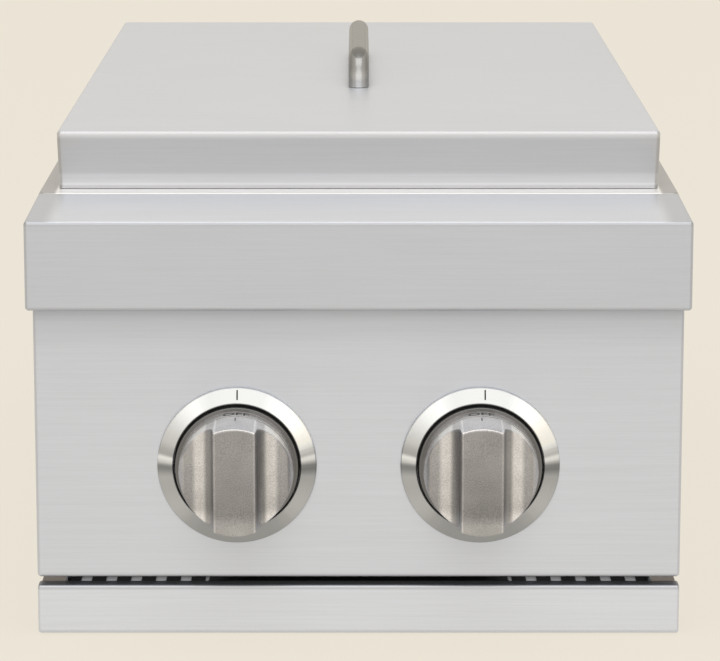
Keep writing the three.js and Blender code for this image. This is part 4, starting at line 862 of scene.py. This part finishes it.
def deck():
    """The deck round its well: rim return, rim, rounded edge, top and well, and back along the inside."""
    half_x, half_y = deck_high[0], deck_high[1] - deck_middle
    well = [half - PAN_FLANGE + GAP for half in (pan_high[0], pan_high[1] - pan_middle)]
    low, top = deck_low[2], deck_high[2]
    inside = DECK_EDGE - SHEET

    def ring(inwards, z, radius):
        """The rim's outline at a height, drawn inwards."""
        return round_ring(deck_middle, half_x - inwards, half_y - inwards, radius, z)

    rings = [ring(RIM_RETURN, low, inside), ring(0, low, 2 * DECK_EDGE)]
    rings += [ring(inwards, top - drop, 2 * DECK_EDGE - inwards) for inwards, drop in rounding(DECK_EDGE)]
    rings += [round_ring(pan_middle, *well, WELL_RADIUS, z) for z in (top, top - SHEET)]
    rings += [ring(SHEET, top - SHEET, inside), ring(SHEET, low + SHEET, inside)]
    rings += [ring(RIM_RETURN, low + SHEET, inside)]
    return skin(rings, looped=True)


def lid_cover():
    """The lid: up its outer wall, over the rounded edge to the top, and the same inside it by one sheet."""
    half_x, half_y = lid_high[0], lid_high[1] - lid_middle
    low, top = lid_low[2], lid_high[2] + LID_RISE

    def ring(inwards, z, radius, lean=0.0):
        return round_ring(lid_middle, half_x - lean - inwards, half_y - inwards, radius, z)

    def over_edge(wall):
        """Rings up over the rounded edge, a wall inside the lid's skin."""
        return [
            ring(wall + inwards, top - wall - drop, LID_CORNER - wall - inwards / 2)
            for inwards, drop in rounding(LID_EDGE - wall)
        ]

    foot = [ring(wall, low, LID_CORNER - wall, LID_LEAN) for wall in (SHEET, 0)]
    return skin(over_edge(SHEET)[::-1] + foot + over_edge(0))


piece("deck_sheet", deck(), DECK_STEEL, "housing", ["deck_frame"])
piece("lid_sheet", lid_cover(), LID_STEEL, "lid", ["lid_shell"])

# Lid handle: its legs stand the span apart
handle_low, handle_high = span("lid_handle")
HANDLE_BEND = 13.0
HANDLE_RADIUS = 6.0
HANDLE_SPAN = 168.0
HANDLE_BEND_STEPS = 16
HANDLE_ROUND_STEPS = 40
handle_middle = (handle_low[1] + handle_high[1]) / 2


def handle_bar():
    """One rod bent over at either end, drawn as an outline (y, z) without its lower side."""
    front, rear = handle_middle - HANDLE_SPAN / 2, handle_middle + HANDLE_SPAN / 2
    foot, top = handle_low[2] + LID_RISE, handle_high[2] - HANDLE_RADIUS
    corners = [(front, foot), (front, top, HANDLE_BEND), (rear, top, HANDLE_BEND), (rear, foot)]
    path = outline(corners, HANDLE_BEND_STEPS)
    return rod(np.c_[np.zeros(len(path)), path], (1, 0, 0), HANDLE_RADIUS, steps=HANDLE_ROUND_STEPS)


piece("handle_rod", handle_bar(), HANDLE_STEEL, "lid", ["lid_handle"], outwards=True)

# Bezels: radii of the lip and of the hole, the height of the outer edge and how far the lip stands back
BEZEL_ROUND = 0.8
BEZEL_EDGE = 1.5
BEZEL_INNER = 33.0
BEZEL_NOSE = 0.12
BEZEL_CREASE = 40.0
bezel_low, bezel_high = span("left_bezel")
BEZEL_OUTER = (bezel_high[0] - bezel_low[0]) / 2
panel_face = panel_low[1]


def bezel(x):
    """A cone ring: outer edge, slope, rounded lip and inner wall."""
    back, front = bezel_high[1], bezel_low[1]
    corners = [
        (BEZEL_OUTER, back),
        (BEZEL_OUTER, panel_face - BEZEL_EDGE - BEZEL_ROUND, BEZEL_ROUND),
        (BEZEL_INNER, front - BEZEL_NOSE, BEZEL_ROUND),
        (BEZEL_INNER, back),
    ]
    profile = outline(corners)
    return turned(np.vstack([profile, profile[:1]]), x, KNOB_Z)


# The grip: its cone's radius at foot and front, its bar's half width, the radius of its edges and how far the
# bar's ends stand back, and the scoop from the bar's wall outwards, as (side, depth)
GRIP_FOOT = 29.6
GRIP_TOP = 28.4
GRIP_HALF = 10.9
GRIP_EDGE = 1.4
GRIP_CROWN = 0.7
GRIP_CREASE = 50.0
SCOOP = [
    (10.9, -28.6), (11.2, -24.7), (11.85, -20.6), (13.5, -17.9), (16.1, -15.7),
    (19.5, -14.0), (25.5, -12.7), (27.9, -10.5), (29.6, -6.8),
]


def smooth_line(points, steps):
    """A Catmull-Rom curve through points, as steps stretches between each two."""
    points = np.asarray(points, float)
    ends = np.vstack([2 * points[0] - points[1], points, 2 * points[-1] - points[-2]])
    share = np.linspace(0, 1, steps, endpoint=False)[None, :, None]
    before, start, end, after = (ends[i:len(points) - 1 + i, None] for i in range(4))
    curve = 0.5 * (
        2 * start
        + (end - before) * share
        + (2 * before - 5 * start + 4 * end - after) * share**2
        + (3 * start - before - 3 * end + after) * share**3
    )
    return np.vstack([curve.reshape(-1, 2), points[-1:]])


def grip(x):
    """The cast grip: a cone blank with a concave scoop on either side of its bar.

    The half section (side, depth) runs over the bar's crown, round its edge, down its wall and out along the
    scoop. At each of its points the surface runs level along Z until it meets the cone, whose radius grows
    from front to foot, turns over a small round edge and follows the cone down to the foot. The round edge
    takes at most a share of the level run and of the way down.
    """
    crown_steps, edge_steps, scoop_steps, level_steps, curl_steps, cone_steps = 6, 8, 8, 9, 7, 5
    curl_share = 0.45
    flat = GRIP_HALF - GRIP_EDGE
    crown = np.c_[np.linspace(0, flat, crown_steps + 1)[:-1], np.full(crown_steps, GRIP_FRONT)]
    turn = np.linspace(0, math.pi / 2, edge_steps + 1)
    edge_end = SCOOP[0][1]
    edge = np.c_[flat + GRIP_EDGE * np.sin(turn), edge_end + (GRIP_FRONT - edge_end) * np.cos(turn)]
    section = np.vstack([crown, edge[:-1], smooth_line(SCOOP, scoop_steps)])
    section = np.vstack([section[::-1] * [-1, 1], section[1:]])
    side, depth = section[:, :1], section[:, 1:]

    def reach(y):
        """Half the cone's height at a depth: the root of its radius squared less side squared."""
        radius = GRIP_FOOT + (GRIP_TOP - GRIP_FOOT) * (GRIP_BACK - y) / (GRIP_BACK - GRIP_FRONT)
        return np.sqrt(np.maximum(radius**2 - side**2, 0.0))

    far = reach(depth)
    edge_round = np.minimum(GRIP_EDGE, curl_share * far)
    flat_z = (far - edge_round) * np.linspace(0, 1, level_steps + 1)
    bar = np.clip((GRIP_HALF - np.abs(side)) / GRIP_EDGE, 0, 1)
    flat_y = depth + bar * GRIP_CROWN * (flat_z**2) / GRIP_TOP**2
    curl = np.linspace(0, math.pi / 2, curl_steps + 1)[None, 1:]
    curl_z = far - edge_round * (1 - np.sin(curl))
    drop = np.minimum(edge_round, curl_share * (GRIP_BACK - depth))
    curl_y = flat_y[:, -1:] + drop * (1 - np.cos(curl))
    down = np.linspace(0, 1, cone_steps + 1)[None, 1:]
    down_y = curl_y[:, -1:] + (GRIP_BACK - curl_y[:, -1:]) * down
    down_z = reach(down_y)
    half_z = np.hstack([flat_z, curl_z, down_z])
    half_y = np.hstack([flat_y, curl_y, down_y])
    z = np.hstack([-half_z[:, :0:-1], half_z])
    y = np.hstack([half_y[:, :0:-1], half_y])
    grid = np.stack([np.broadcast_to(x + side, z.shape), y, KNOB_Z + z], -1)
    rows, columns = z.shape
    faces = quads(rows, columns, flip=True)
    index = np.arange(rows * columns).reshape(rows, columns)
    foot = list(index[:, 0]) + list(index[-1, 1:]) + list(index[-2::-1, -1]) + list(index[0, -2:0:-1])
    return grid.reshape(-1, 3), faces + [[int(i) for i in foot]]


def dial(x):
    """The dial ring behind the grip, hollow from the back, with its hub on the stem."""
    hub, wall, edge = 9.0, 2.2, 0.8
    corners = [
        (0, DIAL_BACK),
        (hub, DIAL_BACK),
        (hub, DIAL_FRONT + wall),
        (KNOB_RADIUS - wall, DIAL_FRONT + wall),
        (KNOB_RADIUS - wall, DIAL_BACK),
        (KNOB_RADIUS, DIAL_BACK, edge / 2),
        (KNOB_RADIUS, DIAL_BACK - DIAL_RIM, edge / 2),
        (KNOB_RADIUS - DIAL_INSET, DIAL_BACK - DIAL_RIM),
        (KNOB_RADIUS - DIAL_INSET, DIAL_FRONT, edge / 4),
        (0, DIAL_FRONT),
    ]
    return turned(outline(corners), x, KNOB_Z)


# Marks on the dial's rim: letter height and weight, how far behind the rim's front they stand and above its
# skin, the width of the strips that they are cut into to bend, and the words with their turn in degrees
MARK_HEIGHT = 6.4
MARK_WEIGHT = 0.08
MARK_SETBACK = 4.2
MARK_LIFT = 0.04
MARK_STRIP = 0.6
MARK_REACH = 12.0
FONT_SHARE = 1.25
MARKS = (("OFF", 0.0), ("HI", 90.0), ("LO", 210.0))


def dial_mark(text, turn, x):
    """A word laid on the dial's rim: the letters' width becomes a turn clockwise from the top, by width over
    radius, and their height runs to the back."""
    curve = bpy.data.curves.new("mark", "FONT")
    curve.body = text
    curve.size = MARK_HEIGHT * FONT_SHARE
    curve.align_x, curve.align_y = "CENTER", "CENTER"
    curve.offset = MARK_WEIGHT
    drawn = linked("mark", curve)
    mesh = final_mesh(drawn)
    bpy.data.objects.remove(drawn)
    work = bmesh.new()
    work.from_mesh(mesh)
    bpy.data.meshes.remove(mesh)
    for cut in np.arange(-MARK_REACH, MARK_REACH + MARK_STRIP / 2, MARK_STRIP):
        everything = work.verts[:] + work.edges[:] + work.faces[:]
        bmesh.ops.bisect_plane(work, geom=everything, plane_co=(cut, 0, 0), plane_no=(1, 0, 0))
    flat = np.array([vertex.co for vertex in work.verts])
    faces = [[vertex.index for vertex in face.verts] for face in work.faces]
    work.free()
    radius = KNOB_RADIUS - DIAL_INSET + MARK_LIFT
    angle = math.radians(turn) + flat[:, 0] / radius
    middle = DIAL_FRONT + MARK_SETBACK
    points = np.c_[x + radius * np.sin(angle), middle + flat[:, 1], KNOB_Z + radius * np.cos(angle)]
    return points, faces


# Black discs inside the bezels, round the stems: painted shade in the gap round each dial
SHADE_DISC_INNER = 6.0
SHADE_DISC_THICK = 0.5
SHADE_DISC_LIFT = 0.05
SHADE_DISC_GAP = 0.1


def shade_disc(x):
    """A thin black disc on the panel inside the bezel, round the stem: painted shade in the gap between bezel
    and dial.
    """
    back = panel_face - SHADE_DISC_LIFT
    front = back - SHADE_DISC_THICK
    edge = BEZEL_INNER - SHADE_DISC_GAP
    inner = SHADE_DISC_INNER
    return turned([(inner, back), (edge, back), (edge, front), (inner, front), (inner, back)], x, KNOB_Z)


for side, x in (("left", -KNOB_X), ("right", KNOB_X)):
    # Painted shade: a black disc inside each bezel
    piece(f"{side}_seal", shade_disc(x), PLASTIC, "housing")
    piece(f"{side}_bezel_ring", bezel(x), BEZEL_STEEL, "housing", [f"{side}_bezel"], BEZEL_CREASE)
    piece(f"{side}_dial", dial(x), CAST_DIAL, f"{side}_knob", [f"{side}_knob_skirt"])
    piece(f"{side}_grip", grip(x), CAST_GRIP, f"{side}_knob", [f"{side}_knob_grip"], GRIP_CREASE)
    marks = combined(*[dial_mark(text, turn, x) for text, turn in MARKS])
    piece(f"{side}_dial_marks", marks, MARK_PAINT, f"{side}_knob")

# Vent plate: its slots, which start behind its front by a setback and inside its ends by an edge, the pale
# plates in them that stand in for light seen through the slots, and how far its outer ends reach back
vent_low, vent_high = span("vent_plate")
SLOT_COUNT = 6
SLOT_PITCH = 13.25
SLOT_WIDTH = 5.7
SLOT_LENGTH = 40.0
SLOT_SETBACK = 3.9
SLOT_EDGE = 8.8
LIGHT_PLATE_SHEET = 0.4
LIGHT_PLATE_GAP = 0.02
CHEEK_DEPTH = 34.0
outermost_slot = vent_high[0] - SLOT_EDGE
slot_middle = vent_low[1] + SLOT_SETBACK + SLOT_LENGTH / 2


def level_at(height):
    """Places a flat plate level, its middle at a height."""
    return lambda flat: flat + [0, 0, height]


def vent_slots(gap=0.0):
    """The loops of both groups of slots, smaller all in all by a gap."""
    width, length = SLOT_WIDTH - gap, SLOT_LENGTH - gap
    places = [outermost_slot - i * SLOT_PITCH for i in range(SLOT_COUNT)]
    return [long_hole(sign * place, slot_middle, width, length) for sign in (-1, 1) for place in places]


def vent_sheet():
    """The plate behind the gap, with its slots, coloured near black: painted shade."""
    edge = box_loop(vent_low[0], vent_low[1], vent_high[0], vent_high[1])
    return punched([edge, *vent_slots()], SHEET, level_at(vent_high[2] - SHEET / 2))


def vent_light_plates():
    """Pale plates in the slots, lit by the fill lamps: painted light that stands in for light seen through
    the slots.
    """
    return punched(vent_slots(LIGHT_PLATE_GAP), LIGHT_PLATE_SHEET, level_at(vent_low[2] + LIGHT_PLATE_SHEET))


def vent_cheeks():
    """The plate's plain ends outside the cabinet's walls, behind the control panel's folded sides."""
    inner, outer = vent_high[0] + GAP, panel_high[0]
    front, back = vent_low[1], vent_low[1] + CHEEK_DEPTH
    loops = [box_loop(sign * inner, front, sign * outer, back) for sign in (-1, 1)]
    return punched(loops, SHEET, level_at(vent_high[2] - SHEET / 2))


piece("vent_sheet", vent_sheet(), VENT_SHADE_BLACK, "housing", ["vent_plate"], outwards=True)
# Painted light: pale plates in the slots
piece("vent_light_plates", vent_light_plates(), SLOT_LIGHT_GREY, "housing", outwards=True)
piece("vent_cheeks", vent_cheeks(), CHEEK_GREY, "housing", outwards=True)

# Rear panel: two rows of slots under its top edge, and a round hole for the gas inlet
rear_low, rear_high = span("rear_panel")
inlet_low, inlet_high = span("gas_inlet_fitting")
inlet_x = (inlet_low[0] + inlet_high[0]) / 2
inlet_z = (inlet_low[2] + inlet_high[2]) / 2
TAIL_RADIUS = 10.4
TAIL_STEPS = 48
REAR_SLOT = (30.0, 6.0)
REAR_SLOT_PLACES = (-66.0, -22.0, 22.0, 66.0)
REAR_ROW_DROPS = (40.0, 62.0)


def rear_sheet():
    """The cabinet's back, drawn from its front as (x, z) and stood up."""
    edge = box_loop(rear_low[0], rear_low[2], rear_high[0], rear_high[2])
    rows = [rear_high[2] - drop for drop in REAR_ROW_DROPS]
    holes = [long_hole(x, z, *REAR_SLOT) for z in rows for x in REAR_SLOT_PLACES]
    angle = np.arange(TAIL_STEPS) * 2 * math.pi / TAIL_STEPS
    radius = TAIL_RADIUS + GAP
    holes.append(np.c_[inlet_x + radius * np.cos(angle), inlet_z + radius * np.sin(angle)])
    middle = (rear_low[1] + rear_high[1]) / 2
    return punched([edge, *holes], SHEET, lambda flat: np.c_[flat[:, 0], middle - flat[:, 2], flat[:, 1]])


piece("rear_sheet", rear_sheet(), BRUSHED, "housing", ["rear_panel"], outwards=True)

# Grates
GRATE_ROD = 4.0
BAR_COUNT = 6
GRATE_CORNER = 28.0


def grate(node):
    """A rod frame with round corners, bars across it from front to back and one cross rod under them."""
    low, high = span(node)
    middle = (low[1] + high[1]) / 2
    half_x, half_y = high[0] - GRATE_ROD, (high[1] - low[1]) / 2 - GRATE_ROD
    frame_z, bar_z = low[2] + GRATE_ROD, high[2] - GRATE_ROD
    frame_path = round_ring(middle, half_x, half_y, GRATE_CORNER - GRATE_ROD, frame_z)
    shells = [rod(frame_path, (0, 0, 1), GRATE_ROD, closed=True)]
    shells.append(rod([(-half_x, middle, frame_z), (half_x, middle, frame_z)], (0, 0, 1), GRATE_ROD))
    pitch = (high[0] - low[0]) / (BAR_COUNT + 1)
    for i in range(BAR_COUNT):
        x = (i - (BAR_COUNT - 1) / 2) * pitch
        run = [(x, middle - half_y, bar_z), (x, middle + half_y, bar_z)]
        shells.append(rod(run, (0, 0, 1), GRATE_ROD))
    return combined(*shells)


for end in ("front", "rear"):
    node = f"{end}_grate"
    piece(f"{end}_grate_rods", grate(node), ENAMEL, f"{end}_pot_grate", [node], outwards=True)


# The other nodes
def smooth_copy(node, shift=(0.0, 0.0, 0.0)):
    """A node's own mesh with its corners merged and smooth, shifted where its seat is shifted."""
    source = frame["nodes"][node]
    mesh = source.data.copy()
    work = bmesh.new()
    work.from_mesh(mesh)
    bmesh.ops.remove_doubles(work, verts=work.verts, dist=MERGE * MM)
    bmesh.ops.translate(work, verts=work.verts, vec=Vector(shift) * MM)
    work.to_mesh(mesh)
    work.free()
    made = linked(f"{node}_surface", mesh)
    return dressed(made, FINISH_OF[SLOT_OF[node]], source["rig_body"], [node], CREASE)


for end, node in ((-1, "handle_front_screw"), (1, "handle_rear_screw")):
    screw_low, screw_high = span(node)
    leg = handle_middle + end * HANDLE_SPAN / 2
    smooth_copy(node, shift=(0.0, leg - (screw_low[1] + screw_high[1]) / 2, LID_RISE))

replaced = {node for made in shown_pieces() for node in made.get("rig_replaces", [])}
for node in sorted(set(frame["nodes"]) - replaced):
    smooth_copy(node)


# Floor, background, lamps and camera, in metres
FLOOR_GLOW = 0.875
FLOOR_HALF = 14.0
FLOOR_DROP = 0.0004


def seen_share(nodes):
    """1 for what is seen, straight or in metal and glass, and 0 for light that falls on the object."""
    ray = nodes.node("ShaderNodeLightPath", {}).outputs
    either = nodes.plus(ray["Is Camera Ray"], ray["Is Glossy Ray"])
    return nodes.math("MINIMUM", nodes.plus(either, ray["Is Transmission Ray"]), 1.0)


def floor():
    """A wide floor that glows faintly, so that the object's shadow stays soft on it."""
    finish = Finish("studio_floor")
    speck = finish.noise(finish.object_place(), 3.0, detail=2.0)
    finish.set(
        Base_Color=finish.shaded(speck, [part * (1 - FLOOR_GLOW) for part in CREAM], 0.004),
        Roughness=0.9,
        Specular_IOR_Level=0.0,
        Emission_Color=(*CREAM, 1),
        Emission_Strength=finish.times(seen_share(finish), FLOOR_GLOW),
    )
    mesh = bpy.data.meshes.new("studio_floor")
    corners = box_loop(-FLOOR_HALF, -FLOOR_HALF, FLOOR_HALF, FLOOR_HALF)
    mesh.from_pydata([(x, y, -FLOOR_DROP) for x, y in corners.tolist()], [], [[0, 1, 2, 3]])
    mesh.materials.append(finish.material)
    linked("studio_floor", mesh)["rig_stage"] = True


def world():
    """Cream where it is seen, straight or in metal and glass, and plain white light on the object."""
    made = bpy.data.worlds.new("studio")
    made.use_nodes = True
    nodes = Nodes(made.node_tree)
    colour = nodes.mixed(seen_share(nodes), (*DAYLIGHT, 1), (*CREAM, 1))
    nodes.feed(nodes.tree.nodes["Background"].inputs["Color"], colour)
    bpy.context.scene.world = made


def softbox(name, place, aim, width, height, radiance):
    """A flat lamp turned towards a point, and unseen. Its power is its radiance times pi times its area."""
    lamp = bpy.data.lights.new(name, "AREA")
    lamp.shape = "RECTANGLE"
    lamp.size, lamp.size_y = width, height
    lamp.energy = radiance * math.pi * width * height
    made = linked(name, lamp)
    made.location = place
    made.rotation_euler = (Vector(aim) - Vector(place)).to_track_quat("-Z", "Y").to_euler()
    made.visible_camera = False
    return made


floor()
world()

# Each lamp's name, place, width, height and radiance, all aimed at the burner's middle
AIM = (0.0, 0.0, 0.15)
LAMPS = [
    ("front", (0.0, -3.6, 1.35), 5.0, 2.3, 0.6),
    ("front_high", (0.0, -2.2, 2.2), 2.4, 1.0, 0.5),
    ("overhead", (0.0, -0.7, 2.3), 2.4, 1.4, 0.95),
]
for name, place, width, height, radiance in LAMPS:
    softbox(name, place, AIM, width, height, radiance)

# Two small lamps under the control panel light the pale plates in the vent gap: their place in millimetres,
# their width and height in metres and their radiance
FILL_PLACE = (118.0, 36.0, 29.6)
FILL_SIZE = (0.09, 0.02)
FILL_RADIANCE = 0.4
for side in (-1, 1):
    x, y, z = side * FILL_PLACE[0] * MM, (RAIL_FACE + FILL_PLACE[1]) * MM, FILL_PLACE[2] * MM
    lamp = softbox(f"vent_fill_{side}", (x, y, z), (x, y, 0.0), *FILL_SIZE, FILL_RADIANCE)
    lamp.visible_glossy = False

# The camera stands where the photograph's edges put it, and looks down by its tilt in degrees
CAMERA_PLACE = (0.00075, -2.0439, 0.5117)
CAMERA_TILT = 11.272
CAMERA_LENS = 172.0
CAMERA_SENSOR = 36.0
camera = bpy.data.cameras.new("photo_camera")
camera.lens = CAMERA_LENS
camera.sensor_width = CAMERA_SENSOR
eye = linked("photo_camera", camera)
eye.location = CAMERA_PLACE
eye.rotation_euler = (math.radians(90 - CAMERA_TILT), 0.0, 0.0)
bpy.context.scene.camera = eye
bpy.context.scene.view_settings.view_transform = "Standard"
